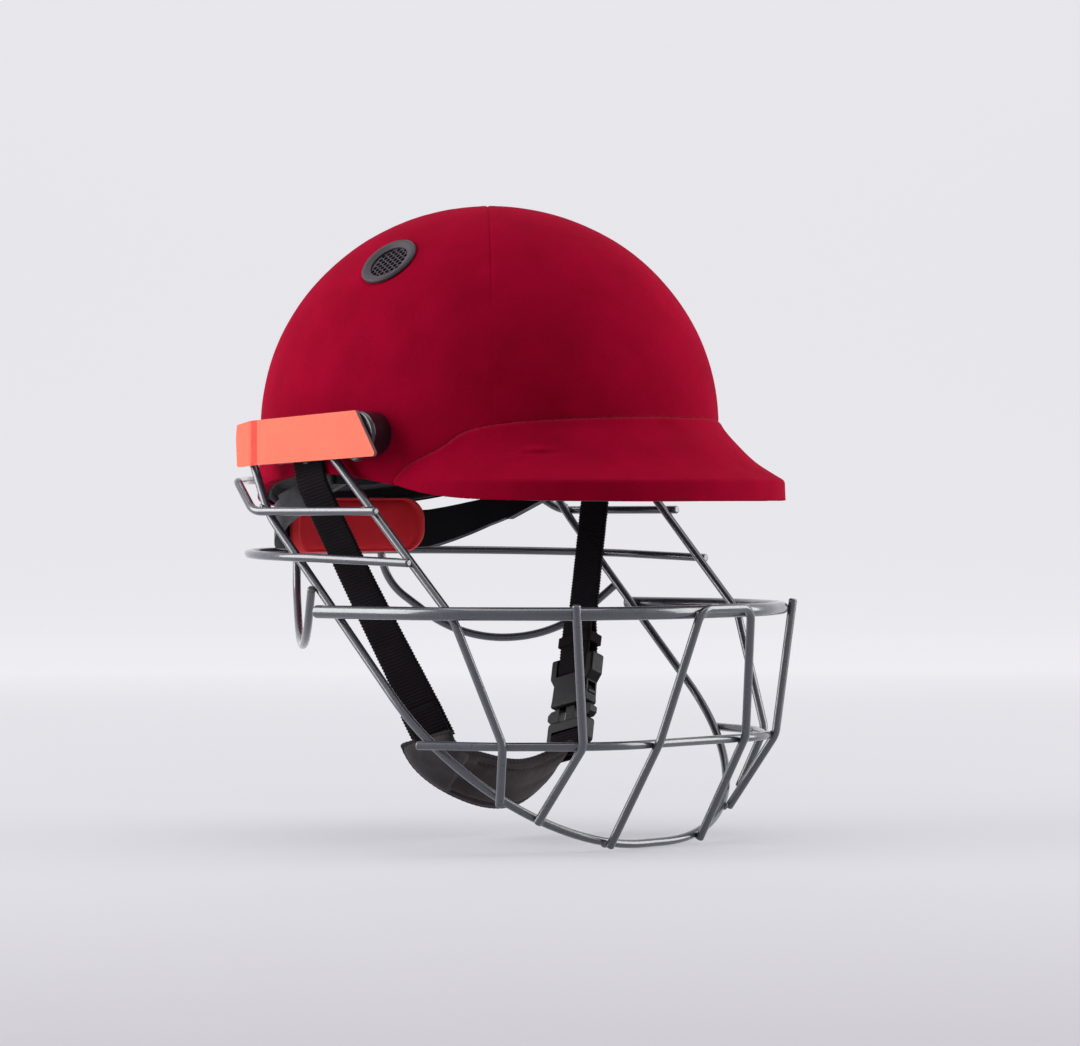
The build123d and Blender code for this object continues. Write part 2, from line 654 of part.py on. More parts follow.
# Badge plates, each a bent strip held to its bracket by tape
PLATE_X = BRACKET_FACE_X + TAPE_WALL + PLATE_WALL / 2
tail_angle = radians(PLATE_BEND)
with BuildPart() as badge_plate:
    with BuildSketch():
        with BuildLine():
            FilletPolyline(
                (PLATE_X, PLATE_START_Y),
                (PLATE_X, PLATE_BEND_Y),
                (PLATE_X - PLATE_TAIL * sin(tail_angle), PLATE_BEND_Y + PLATE_TAIL * cos(tail_angle)),
                radius=PLATE_BEND_RADIUS,
            )
        trace(line_width=PLATE_WALL)
    extrude(amount=PLATE_BLANK_HEIGHT)
    with BuildSketch(Plane.YZ.offset(BRACKET_INNER_X)) as plate_side:
        with BuildLine():
            Polyline(*PLATE_SIDE, close=True)
        make_face()
        fillet(plate_side.vertices(), PLATE_CORNER)
    extrude(amount=PLATE_REACH, mode=Mode.INTERSECT)
save_pair(badge_plate, "badge_plate")

with BuildPart() as badge_tape:
    with BuildSketch(Plane.YZ.offset(BRACKET_FACE_X)):
        with Locations((BRACKET_Y + TAPE_SHIFT[0], BRACKET_Z + TAPE_SHIFT[1])):
            SlotOverall(
                BRACKET_LENGTH - TAPE_MARGINS[0],
                BRACKET_HEIGHT - TAPE_MARGINS[1],
                rotation=-PLATE_TILT,
            )
    extrude(amount=TAPE_WALL)
save_pair(badge_tape, "badge_tape")


def arm_bar(front_y, rear_y, height):
    """Side view of a bar along the arm's sloping line."""
    slope = radians(ARM_SLOPE)
    middle_y = (front_y + rear_y) / 2
    middle_z = ARM_FRONT[1] - (middle_y - ARM_FRONT[0]) * sin(slope) / cos(slope)
    with BuildSketch(mode=Mode.PRIVATE) as bar:
        with Locations((middle_y, middle_z)):
            Rectangle((rear_y - front_y) / cos(slope), height, rotation=-ARM_SLOPE)
    return bar.sketch


ARM_SIDE = arm_bar(ARM_FRONT[0], ARM_END_Y, ARM_HEIGHT)
SLEEVE_SIDE = arm_bar(SLEEVE_FRONT_Y, SLEEVE_REAR_Y, ARM_HEIGHT + 2 * SLIDE_GAP + SLEEVE_RIM)
CHANNEL_SIDE = arm_bar(
    SLEEVE_FRONT_Y - CHANNEL_FRONT_RUN,
    SLEEVE_REAR_Y - CHANNEL_REAR_STOP,
    ARM_HEIGHT + 2 * SLIDE_GAP,
)

# Cradle arms, each a foot bonded inside the rim and a bar that slopes down to the back
with BuildPart() as cradle_arm:
    with BuildSketch(Plane.YZ.offset(ARM_X)):
        with BuildLine():
            Polyline(*FOOT, close=True)
        make_face()
    extrude(amount=FOOT_REACH)
    add(LINER_OUTER, mode=Mode.INTERSECT)
    with BuildSketch(Plane.YZ.offset(ARM_X)):
        add(ARM_SIDE)
    extrude(amount=ARM_WALL)
save_pair(cradle_arm, "cradle_arm")


def u_line(half_width, back_y):
    """Corners of a U round the nape, open to the front."""
    front_y = SLEEVE_FRONT_Y + BAND_LEAD
    return [(half_width, front_y), (half_width, back_y), (-half_width, back_y), (-half_width, front_y)]


# Cradle band, a U round the nape with a sleeve over each arm
BAND_X = CRADLE_HALF_WIDTH - CRADLE_WALL / 2
BAND_Y = CRADLE_BACK_Y - CRADLE_WALL / 2
BAND_RADIUS = CRADLE_CORNER - CRADLE_WALL / 2
with BuildPart() as cradle_side:
    with BuildSketch(Plane.YZ):
        with BuildLine():
            Polyline(*CRADLE_SIDE, close=True)
        make_face()
    extrude(amount=CRADLE_HALF_WIDTH + CRADLE_WALL, both=True)
with BuildPart() as cradle_band:
    with BuildSketch(Plane.XY.offset(BAND_BLANK_DEPTH)):
        with BuildLine():
            FilletPolyline(*u_line(BAND_X, BAND_Y), radius=BAND_RADIUS)
        trace(line_width=CRADLE_WALL)
    extrude(amount=BAND_BLANK_HEIGHT)
    add(cradle_side.part, mode=Mode.INTERSECT)
    for side in (1, -1):
        with BuildSketch(Plane.YZ.offset(side * (ARM_X - SLIDE_GAP - SLEEVE_WALL))):
            add(SLEEVE_SIDE)
        extrude(amount=side * (ARM_WALL + 2 * SLIDE_GAP + 2 * SLEEVE_WALL))
    for side in (1, -1):
        with BuildSketch(Plane.YZ.offset(side * (ARM_X - SLIDE_GAP))):
            add(CHANNEL_SIDE)
        extrude(amount=side * (ARM_WALL + 2 * SLIDE_GAP), mode=Mode.SUBTRACT)
    with BuildSketch(Plane.XZ.offset(-BAND_Y - CRADLE_WALL)):
        with Locations((0, DIAL_Z)):
            Circle(SPINDLE / 2 + RUNNING_GAP)
    extrude(amount=2 * CRADLE_WALL, mode=Mode.SUBTRACT)
save(cradle_band, "cradle_band")

# Nape pad, a soft pad bonded inside the band
PAD_X = BAND_X - (CRADLE_WALL + NAPE_PAD_WALL) / 2 - GLUE_GAP
PAD_Y = BAND_Y - (CRADLE_WALL + NAPE_PAD_WALL) / 2 - GLUE_GAP
with BuildPart() as nape_pad:
    with BuildSketch(Plane.XY.offset(BAND_BLANK_DEPTH)):
        with BuildLine():
            FilletPolyline(
                *u_line(PAD_X, PAD_Y),
                radius=BAND_RADIUS - (CRADLE_WALL + NAPE_PAD_WALL) / 2 - GLUE_GAP,
            )
        trace(line_width=NAPE_PAD_WALL)
    extrude(amount=BAND_BLANK_HEIGHT)
    with BuildSketch(Plane.XZ.offset(-PAD_Y - NAPE_PAD_WALL)):
        with Locations((0, NAPE_PAD_Z)):
            RectangleRounded(*NAPE_PAD_SIZE, NAPE_PAD_CORNER)
    extrude(amount=4 * NAPE_PAD_WALL, mode=Mode.INTERSECT)
save(nape_pad, "nape_pad")

# Fit dial: base with a cavity, pinion inside it and a ribbed knob on a spindle
BASE_Y = CRADLE_BACK_Y + GLUE_GAP
with BuildPart() as dial_base:
    with BuildSketch(Plane.XZ.offset(-BASE_Y)):
        with Locations((0, DIAL_Z)):
            Circle(DIAL_BASE_RADIUS)
            Circle(SPINDLE / 2 + RUNNING_GAP, mode=Mode.SUBTRACT)
    extrude(amount=-DIAL_BASE_DEPTH)
    with BuildSketch(Plane.XZ.offset(-BASE_Y - DIAL_BASE_FLOOR)):
        with Locations((0, DIAL_Z)):
            Circle(DIAL_BASE_RADIUS - DIAL_BASE_RIM)
    extrude(amount=-DIAL_BASE_DEPTH, mode=Mode.SUBTRACT)
save(dial_base, "dial_base")

with BuildPart() as dial_pinion:
    with BuildSketch(Plane.XZ.offset(-BASE_Y - DIAL_BASE_FLOOR - PINION_GAP)):
        with Locations((0, DIAL_Z)):
            Circle(PINION_RADIUS)
            with PolarLocations(PINION_PITCH_RADIUS, PINION_TEETH):
                RectangleRounded(*PINION_TOOTH, DIAL_EASE)
            Circle(SPINDLE / 2, mode=Mode.SUBTRACT)
    extrude(amount=-PINION_WALL)
save(dial_pinion, "dial_pinion")

with BuildPart() as fit_dial:
    with BuildSketch(Plane.XZ.offset(-BASE_Y - DIAL_BASE_DEPTH - SLIDE_GAP)):
        with Locations((0, DIAL_Z)):
            Circle(DIAL_RADIUS)
            with PolarLocations(DIAL_RADIUS + GRIP_OFFSET, DIAL_GRIPS):
                Circle(GRIP_RADIUS, mode=Mode.SUBTRACT)
    extrude(amount=-DIAL_DEPTH)
    fillet(fit_dial.faces().sort_by(Axis.Y)[-1].edges(), DIAL_EASE)
    with BuildSketch(Plane.XZ.offset(-BASE_Y - DIAL_BASE_DEPTH - DIAL_DEPTH)):
        with Locations((0, DIAL_Z)):
            Circle(DIAL_RECESS[0])
    extrude(amount=-DIAL_RECESS[1], mode=Mode.SUBTRACT)
    with BuildSketch(Plane.XZ.offset(-BASE_Y - DIAL_BASE_DEPTH - 1)):
        with Locations((0, DIAL_Z)):
            Circle(SPINDLE / 2)
    extrude(amount=DIAL_BASE_DEPTH + CRADLE_WALL)
save(fit_dial, "fit_dial")

# Chin strap: the left strap's own directions, up along it, across it and out of its face
PIVOT = Vector(STRAP_X, PIVOT_Y, SCREW_Z)
LOW = Vector(*STRAP_LOW)
rear = Vector(0, PIVOT.Y - LOW.Y, PIVOT.Z - LOW.Z).normalized()
BEND = PIVOT - rear * STRAP_BEND
UP = (BEND - LOW).normalized()
ACROSS = Vector(0, rear.Z, -rear.Y)
OUT = ACROSS.cross(UP)
BUCKLE = LOW + UP * BUCKLE_ABOVE_LOW
BUCKLE_PLANE = Plane(BUCKLE, x_dir=ACROSS, z_dir=OUT)
STRAP_PLANE = Plane(BUCKLE, x_dir=OUT, z_dir=OUT.cross(UP))


def along_strap(point):
    """A point in space as (out, up) from the buckle."""
    local = STRAP_PLANE.to_local_coords(point)
    return (local.X, local.Y)


def webbing(points, radii):
    """Flat webbing whose side view follows straight runs and tangent arcs."""
    with BuildPart() as strap:
        with BuildSketch(STRAP_PLANE):
            with BuildLine():
                FilletPolyline(*points, radius=radii)
            trace(line_width=WEBBING_WALL)
        extrude(amount=WEBBING / 2, both=True)
    return strap


def hung_webbing(lower_points, lower_radii):
    """Webbing that hangs from the bracket, with a rounded end and an eyelet hole."""
    top = along_strap(PIVOT + rear * STRAP_TOP)
    with BuildPart() as strap:
        add(webbing([top, along_strap(BEND)] + lower_points, [STRAP_BEND_RADIUS] + lower_radii).part)
        fillet(strap.edges().filter_by(Axis.X).sort_by(Axis.Z)[-2:], WEBBING / 2 - STRAP_END_EASE)
        with BuildSketch(Plane.YZ.offset(STRAP_X - EYELET_CUT)):
            with Locations((PIVOT_Y, SCREW_Z)):
                Circle(EYELET_RADIUS + GLUE_GAP / 5)
        extrude(amount=2 * EYELET_CUT, mode=Mode.SUBTRACT)
    return strap


FOLD = 3.0
FOLD_RADIUS = 1.2
FOLD_START = 6.0
LEAD_START = 20.0
LEAD_RADIUS = 25.0
TAIL_TOP = 24.0
BAR_BOTTOM = -7.5
slot_y = BAR_BOTTOM - BAR_SLOT / 2
left_webbing = hung_webbing(
    [(0, LEAD_START), (FOLD, FOLD_START), (FOLD, slot_y), (-FOLD, slot_y), (-FOLD, TAIL_TOP)],
    [LEAD_RADIUS, LEAD_RADIUS, FOLD_RADIUS, FOLD_RADIUS],
)
save(left_webbing, "left_webbing")
right_low = along_strap(Vector(-CHIN_LINE[0][0], CHIN_LINE[0][1], CHIN_LINE[0][2]) + UP * 0.5)
right_strap = hung_webbing([(0, right_low[1])], [])
with BuildPart() as right_webbing:
    mirror(right_strap.part, about=Plane.YZ)
save(right_webbing, "right_webbing")

# Eyelets clinched in the strap ends, free to turn on the screws
with BuildPart() as left_eyelet:
    with BuildSketch(Plane.YZ.offset(STRAP_X)):
        with Locations((PIVOT_Y, SCREW_Z)):
            Circle(EYELET_RADIUS)
    extrude(amount=WEBBING_WALL / 2 + EYELET_WALL, both=True)
    for face_side in (1, -1):
        with BuildSketch(Plane.YZ.offset(STRAP_X + face_side * WEBBING_WALL / 2)):
            with Locations((PIVOT_Y, SCREW_Z)):
                Circle(EYELET_FLANGE)
        extrude(amount=face_side * EYELET_WALL)
    with BuildSketch(Plane.YZ.offset(STRAP_X)):
        with Locations((PIVOT_Y, SCREW_Z)):
            Circle(SCREW / 2 + RUNNING_GAP)
    extrude(amount=EYELET_CUT, both=True, mode=Mode.SUBTRACT)
with BuildPart() as strap_eyelets:
    add(left_eyelet.part)
    mirror(left_eyelet.part, about=Plane.YZ)
save(strap_eyelets, "strap_eyelets")

# Keeper, a loop that holds the left webbing's tail
KEEPER_Y = 7.0
KEEPER_HEIGHT = 5.0
KEEPER_OUTER = (WEBBING + 3.4, 10.8)
KEEPER_INNER = (WEBBING + 0.6, 8.4)
KEEPER_CORNERS = (2, 0.8)
with BuildPart() as webbing_keeper:
    with BuildSketch(Plane(BUCKLE + UP * KEEPER_Y, x_dir=ACROSS, z_dir=UP)):
        RectangleRounded(*KEEPER_OUTER, KEEPER_CORNERS[0])
        RectangleRounded(*KEEPER_INNER, KEEPER_CORNERS[1], mode=Mode.SUBTRACT)
    extrude(amount=KEEPER_HEIGHT)
save(webbing_keeper, "webbing_keeper")


def through_buckle(centre, size, wall, mode=Mode.SUBTRACT):
    """A block through the buckle's thickness, in the part that is being built."""
    with BuildSketch(BUCKLE_PLANE) as block:
        with Locations(centre):
            Rectangle(*size)
    extrude(block.sketch, amount=wall / 2, both=True, mode=mode)


def thin_bar(centre, size, wall):
    """Cut both faces back to a bar that the webbing goes round."""
    for face_side in (1, -1):
        with BuildSketch(BUCKLE_PLANE.offset(face_side * BAR_WALL / 2)) as block:
            with Locations(centre):
                Rectangle(*size)
        extrude(block.sketch, amount=face_side * wall, mode=Mode.SUBTRACT)


# Buckle housing, with a bar for the webbing, a cavity and side windows
HOUSING_CORNER = 1.4
HOUSING_EASE = 1.2
WINDOW_PLACE = (13, -19.5)
HOUSING_BAR = ((0, -3), (BAR_SLOT_WIDTH, 9.5))
with BuildPart() as buckle_housing:
    with BuildSketch(BUCKLE_PLANE) as housing_outline:
        with BuildLine():
            Polyline(*both_halves(HOUSING_HALF), close=True)
        make_face()
        side_corners = housing_outline.vertices().filter_by(lambda corner: abs(corner.X) > 1)
        fillet(side_corners, HOUSING_CORNER)
    extrude(amount=HOUSING_WALL / 2, both=True)
    fillet(buckle_housing.faces().filter_by(BUCKLE_PLANE).edges(), HOUSING_EASE)
    through_buckle((0, HOUSING_HALF[-1][1] + CAVITY[1] / 2), CAVITY[:2], CAVITY[2])
    for side in (1, -1):
        through_buckle((side * WINDOW_PLACE[0], WINDOW_PLACE[1]), WINDOW, CAVITY[2])
    through_buckle((0, slot_y), (BAR_SLOT_WIDTH, BAR_SLOT), HOUSING_WALL)
    thin_bar(*HOUSING_BAR, HOUSING_WALL)
save(buckle_housing, "buckle_housing")

# Buckle plug, with a centre tongue and its own bar
PLUG_SLOT_TOP = -42.0
PLUG_CORNER = 2.4
PLUG_EASE = 1.0
PLUG_BAR = ((0, PLUG_BOTTOM + 2), (BAR_SLOT_WIDTH, 6.2))
TONGUE_CORNER = 1.6
TONGUE_ROOT = 1.0
plug_slot_y = PLUG_SLOT_TOP - BAR_SLOT / 2
with BuildPart() as buckle_plug:
    with BuildSketch(BUCKLE_PLANE):
        with Locations((0, (PLUG_TOP + PLUG_BOTTOM) / 2)):
            RectangleRounded(PLUG_WIDTH, PLUG_TOP - PLUG_BOTTOM, PLUG_CORNER)
    extrude(amount=PLUG_WALL / 2, both=True)
    fillet(buckle_plug.faces().filter_by(BUCKLE_PLANE).edges(), PLUG_EASE)
    through_buckle((0, plug_slot_y), (BAR_SLOT_WIDTH, BAR_SLOT), PLUG_WALL)
    thin_bar(*PLUG_BAR, PLUG_WALL)
    tongue_length = TONGUE_TIP - PLUG_TOP + TONGUE_ROOT
    with BuildSketch(BUCKLE_PLANE):
        with Locations((0, TONGUE_TIP - tongue_length / 2)):
            RectangleRounded(TONGUE_WIDTH, tongue_length, TONGUE_CORNER)
        with Locations((0, PLUG_TOP)):
            Rectangle(TONGUE_WIDTH, 2 * TONGUE_ROOT)
    extrude(amount=BAR_WALL / 2, both=True)
save(buckle_plug, "buckle_plug")

# Prongs, one each side of the tongue, with a finger pad and a barb
PRONG_CORNER = 0.35
for side, prong_name in ((1, "rear"), (-1, "front")):
    with BuildPart() as prong:
        with BuildSketch(BUCKLE_PLANE) as prong_outline:
            with BuildLine():
                Polyline(*[(side * x, y) for x, y in PRONG], close=True)
            make_face()
            fillet(prong_outline.vertices(), PRONG_CORNER)
        extrude(amount=PRONG_WALL / 2, both=True)
    save(prong, f"buckle_prong_{prong_name}")

# Short webbing round the plug's bar, its two ends sewn into the chin cup
CUP_OUT = 0.66
CUP_UP = sqrt(1 - CUP_OUT**2)
plug_webbing = webbing(
    [
        (-4.9, -61),
        (FOLD, -52),
        (FOLD, plug_slot_y),
        (-FOLD, plug_slot_y),
        (-FOLD, -51),
        (-6.55, -59.55),
    ],
    [8, FOLD_RADIUS, FOLD_RADIUS, 8],
)
save(plug_webbing, "plug_webbing")

# Chin cup, a padded strip that cradles the chin
right_up = Vector(-UP.X, UP.Y, UP.Z)
tangents = [right_up * -1]
for before, after in zip(CHIN_LINE, CHIN_LINE[2:]):
    tangents.append(Vector(*after) - Vector(*before))
tangents.append(OUT * CUP_OUT + UP * CUP_UP)
with BuildPart() as chin_pad:
    for point, width, wall, tilt, tangent in zip(CHIN_LINE, CHIN_WIDTHS, CHIN_WALLS, CHIN_TILTS, tangents):
        along_width = Vector(0, -cos(radians(tilt)), sin(radians(tilt)))
        square = tangent - along_width * tangent.dot(along_width)
        with BuildSketch(Plane(point, x_dir=along_width, z_dir=square)):
            RectangleRounded(width, wall, wall * CHIN_EDGE_SHARE)
    loft()
save(chin_pad, "chin_pad")
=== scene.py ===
# Looks of the cricket helmet: cloth, padding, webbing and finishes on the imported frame.
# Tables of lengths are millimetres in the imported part's frame. Camera, lights and reliefs are metres.
import json
from math import cos, pi, radians, sin

import bmesh
import bpy
import numpy as np
from mathutils import Matrix, Vector, noise


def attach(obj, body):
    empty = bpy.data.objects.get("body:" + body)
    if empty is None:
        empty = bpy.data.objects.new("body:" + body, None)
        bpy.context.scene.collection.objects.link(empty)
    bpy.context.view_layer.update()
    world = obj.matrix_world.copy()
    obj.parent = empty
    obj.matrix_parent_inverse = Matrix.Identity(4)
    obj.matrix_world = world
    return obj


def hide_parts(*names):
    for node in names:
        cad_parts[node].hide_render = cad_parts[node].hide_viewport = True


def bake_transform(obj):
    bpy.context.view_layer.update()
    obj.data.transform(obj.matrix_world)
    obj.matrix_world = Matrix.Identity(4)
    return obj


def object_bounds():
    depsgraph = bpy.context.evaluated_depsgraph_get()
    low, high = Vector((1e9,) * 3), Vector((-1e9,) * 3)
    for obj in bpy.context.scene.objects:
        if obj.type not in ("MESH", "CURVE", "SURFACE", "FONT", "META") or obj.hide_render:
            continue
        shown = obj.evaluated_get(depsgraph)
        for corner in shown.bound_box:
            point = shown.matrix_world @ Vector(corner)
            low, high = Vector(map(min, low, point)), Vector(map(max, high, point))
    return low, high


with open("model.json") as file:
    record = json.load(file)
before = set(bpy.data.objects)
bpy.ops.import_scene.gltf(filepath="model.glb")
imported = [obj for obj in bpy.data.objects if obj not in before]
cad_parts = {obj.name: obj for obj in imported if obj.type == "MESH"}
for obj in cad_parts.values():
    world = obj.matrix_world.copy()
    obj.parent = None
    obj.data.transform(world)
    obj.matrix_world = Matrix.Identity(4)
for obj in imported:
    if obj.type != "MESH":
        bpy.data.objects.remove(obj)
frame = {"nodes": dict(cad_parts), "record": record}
cad_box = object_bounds()
nodes = frame["nodes"]
MM = 0.001
SAME_POINT = 1e-7

# Camera at the photograph's viewing angle
AIM = Vector((0, -0.036, -0.012))
AZIMUTH = radians(-48)
ELEVATION = radians(0.212)
ROLL = radians(-0.208)
DISTANCE = 2.14717
FOCAL_SHARE = 4199.04 / 1080
SENSOR = 36.0
back = Vector((sin(AZIMUTH) * cos(ELEVATION), -cos(AZIMUTH) * cos(ELEVATION), sin(ELEVATION)))
level_right = Vector((cos(AZIMUTH), sin(AZIMUTH), 0))
level_up = back.cross(level_right)
right = level_right * cos(ROLL) + level_up * sin(ROLL)
camera_data = bpy.data.cameras.new("camera")
camera_data.sensor_width = SENSOR
camera_data.lens = SENSOR * FOCAL_SHARE
camera_data.clip_end = 30
camera = bpy.data.objects.new("camera", camera_data)
camera.matrix_world = Matrix.Translation(AIM + back * DISTANCE) @ Matrix(
    (right, back.cross(right), back)
).transposed().to_4x4()
bpy.context.scene.collection.objects.link(camera)
bpy.context.scene.camera = camera
bpy.context.scene.view_settings.view_transform = "Standard"


NOISE_ROUGHNESS = 0.55


def feed(socket, value):
    """Link an output to a socket, or set a number, a vector or a colour there."""
    if isinstance(value, bpy.types.NodeSocket):
        socket.id_data.links.new(value, socket)
    elif socket.type == "RGBA":
        socket.default_value = (*value, 1)
    else:
        socket.default_value = value


def add_node(tree, kind, inputs=None, **settings):
    """A new shader node with its settings made and its inputs fed."""
    node = tree.nodes.new("ShaderNode" + kind)
    for setting, value in settings.items():
        setattr(node, setting, value)
    for socket, value in (inputs or {}).items():
        feed(node.inputs[socket], value)
    return node


class Finish:
    """A procedural material whose patterns follow the object's own coordinates."""

    def __init__(self, name, colour, roughness, constants=None):
        self.material = bpy.data.materials.new(name)
        self.material.use_nodes = True
        self.tree = self.material.node_tree
        self.inputs = self.tree.nodes["Principled BSDF"].inputs
        for socket, value in {"Base Color": colour, "Roughness": roughness, **(constants or {})}.items():
            feed(self.inputs[socket], value)
        self.place = add_node(self.tree, "TexCoord").outputs
        self.normal = None

    def noise(self, scale, detail=3.0, stretch=None):
        """Soft random pattern, scale in features per metre."""
        source = self.place["Object"]
        if stretch:
            source = add_node(self.tree, "Mapping", {"Vector": source, "Scale": stretch}).outputs["Vector"]
        return add_node(self.tree, "TexNoise", {
            "Vector": source, "Scale": scale, "Detail": detail, "Roughness": NOISE_ROUGHNESS,
        }).outputs["Fac"]

    def cells(self, scale):
        """Cell pattern, scale in cells per metre."""
        cell = add_node(self.tree, "TexVoronoi", {"Vector": self.place["Object"], "Scale": scale})
        return cell.outputs["Distance"]

    def math(self, operation, first, second=0.0):
        """Result of an operation on two values."""
        return add_node(self.tree, "Math", {0: first, 1: second}, operation=operation).outputs[0]

    def remap(self, value, low, high, to_low=0.0, to_high=1.0):
        """A value taken from one range to another, held at its ends."""
        return add_node(self.tree, "MapRange", {
            "Value": value, "From Min": low, "From Max": high, "To Min": to_low, "To Max": to_high,
        }).outputs["Result"]

    def mix(self, factor, first, second):
        """Colour between two colours."""
        return add_node(self.tree, "Mix", {0: factor, 6: first, 7: second}, data_type="RGBA").outputs[2]

    def wave(self, place, pitch):
        """Sine of a place, one turn in each pitch."""
        return self.math("SINE", self.math("MULTIPLY", place, 2 * pi / pitch))

    def blend(self, first, first_share, second, second_share):
        """Sum of two patterns, each by its share."""
        return self.math(
            "ADD", self.math("MULTIPLY", first, first_share), self.math("MULTIPLY", second, second_share),
        )

    def split(self, output):
        """The three parts of a coordinate."""
        return add_node(self.tree, "SeparateXYZ", {0: self.place[output]}).outputs

    def attribute(self, name):
        """A mark stored on the mesh's points."""
        return add_node(self.tree, "Attribute", attribute_name=name).outputs["Fac"]

    def colour(self, value):
        """Set the base colour to a pattern or a colour."""
        feed(self.inputs["Base Color"], value)

    def rough(self, value):
        """Set the roughness to a pattern."""
        feed(self.inputs["Roughness"], value)

    def bump(self, height, strength, depth):
        """Surface relief from a height pattern, depth in metres, on top of earlier relief."""
        relief = add_node(self.tree, "Bump", {"Height": height, "Strength": strength, "Distance": depth})
        if self.normal:
            feed(relief.inputs["Normal"], self.normal)
        self.normal = relief.outputs["Normal"]
        feed(self.inputs["Normal"], self.normal)


def mottled(name, dark, light, scale, roughness, constants=None, grain=900, grain_depth=0.00008):
    """Plain finish with slow colour changes, a fine grain and uneven gloss."""
    finish = Finish(name, dark, roughness, constants)
    finish.colour(finish.mix(finish.noise(scale, 4), dark, light))
    finish.rough(finish.remap(finish.noise(scale * 3, 3), 0.3, 0.7, roughness - 0.06, roughness + 0.06))
    finish.bump(finish.noise(grain, 2), 0.5, grain_depth)
    return finish


def brushed_cloth(name, dark, light, sheen, tint):
    """Felted woollen cloth: short fibres, soft blotches, a pale edge-on sheen and a painted highlight along
    marked seams.
    """
    finish = Finish(name, dark, 0.92, {
        "Sheen Weight": sheen, "Sheen Roughness": 0.34, "Sheen Tint": tint, "Specular IOR Level": 0.03,
    })
    blotch = finish.noise(42, 4)
    fibre = finish.noise(2600, 3, (1, 1, 0.45))
    tone = finish.blend(blotch, 0.45, fibre, 0.55)
    cloth = finish.mix(finish.remap(tone, 0.34, 0.66), dark, light)
    # Paler tone along marked seams: a painted highlight on the seam's welt, broken up by noise.
    seam = finish.attribute("seam")
    seam_highlight = finish.math("MULTIPLY", seam, finish.remap(finish.noise(700, 2), 0.3, 0.6))
    highlight_tone = tuple(0.8 * v + 0.09 for v in light)
    finish.colour(finish.mix(finish.math("MULTIPLY", seam_highlight, 0.18), cloth, highlight_tone))
    finish.bump(blotch, 0.25, 0.0012)
    finish.bump(finish.noise(900, 4), 0.30, 0.0004)
    finish.bump(fibre, 0.35, 0.00018)
    return finish


def woven(name, dark, light, across, along, sheen=0.2):
    """Flat woven tape: ribs across it, yarns along it, from UV in millimetres."""
    finish = Finish(name, dark, 0.86, {
        "Sheen Weight": sheen, "Sheen Roughness": 0.5, "Specular IOR Level": 0.08,
    })
    u, v, _ = finish.split("UV")
    wobble = finish.math("MULTIPLY", finish.noise(160, 2), 1.2)
    rib = finish.wave(finish.math("ADD", v, wobble), across)
    yarn = finish.wave(u, along)
    height = finish.math("ADD", finish.blend(rib, 0.35, yarn, 0.2), finish.noise(1700, 3))
    # Colour follows the relief, darker where it is low: painted shade in the grooves between ribs and yarns,
    # with random tone from the noise.
    finish.colour(finish.mix(finish.remap(height, 0.1, 1.0), dark, light))
    finish.rough(finish.remap(finish.noise(60, 3), 0.3, 0.7, 0.78, 0.94))
    finish.bump(height, 0.5, 0.00025)
    return finish


def knit(name, dark, light, pitch=0.0011, sheen=0.15):
    """Fine knitted lining over foam."""
    finish = Finish(name, dark, 0.9, {
        "Sheen Weight": sheen, "Sheen Roughness": 0.45, "Specular IOR Level": 0.2,
    })
    x, y, z = finish.split("Object")
    first = finish.wave(finish.math("ADD", x, z), pitch)
    second = finish.wave(finish.math("SUBTRACT", y, z), pitch)
    loops = finish.math("MULTIPLY", first, second)
    finish.colour(finish.mix(finish.remap(finish.noise(120, 4), 0.3, 0.7), dark, light))
    finish.bump(finish.noise(140, 3), 0.25, 0.0008)
    finish.bump(loops, 0.35, 0.00012)
    return finish


# Finishes
wool = brushed_cloth("brushed_wool", (0.220, 0.0004, 0.013), (0.320, 0.0008, 0.022), 0.035, (1.0, 0.05, 0.14))
board_cloth = brushed_cloth("board_cloth", (0.05, 0.004, 0.012), (0.075, 0.006, 0.016), 0.1, (1.0, 0.4, 0.5))
shell_finish = mottled("moulded_shell", (0.02, 0.02, 0.026), (0.032, 0.032, 0.04), 60, 0.5)
foam_finish = Finish("bead_foam", (0.016, 0.016, 0.022), 0.72, {"Specular IOR Level": 0.35})
foam_finish.colour(foam_finish.mix(foam_finish.cells(330), (0.010, 0.010, 0.016), (0.034, 0.034, 0.044)))
foam_finish.bump(foam_finish.cells(330), 0.5, 0.0006)
lining = knit("knitted_lining", (0.012, 0.012, 0.018), (0.026, 0.026, 0.036))
binding = woven("binding_tape", (0.012, 0.010, 0.012), (0.03, 0.026, 0.03), 1.1, 0.9)
vent_grey = mottled(
    "vent_grey", (0.038, 0.032, 0.040), (0.060, 0.052, 0.062), 500, 0.6,
    {"Specular IOR Level": 0.25}, 2400,
)
steel = mottled(
    "black_steel", (0.03, 0.03, 0.034), (0.06, 0.058, 0.06), 160, 0.34, {"Metallic": 0.6}, 1500, 0.00003,
)
tape_finish = mottled("foam_tape", (0.5, 0.5, 0.5), (0.62, 0.61, 0.6), 300, 0.8)
bracket_finish = mottled(
    "glossy_bracket", (0.011, 0.006, 0.012), (0.022, 0.013, 0.022), 90, 0.2,
    {"Coat Weight": 0.35, "Coat Roughness": 0.09}, 500, 0.00005,
)
cradle_finish = mottled(
    "cradle_plastic", (0.003, 0.003, 0.005), (0.006, 0.006, 0.010), 70, 0.34,
    {"Specular IOR Level": 0.1}, 700, 0.00005,
)
dial_finish = mottled("dial_plastic", (0.016, 0.016, 0.019), (0.03, 0.03, 0.034), 260, 0.46)
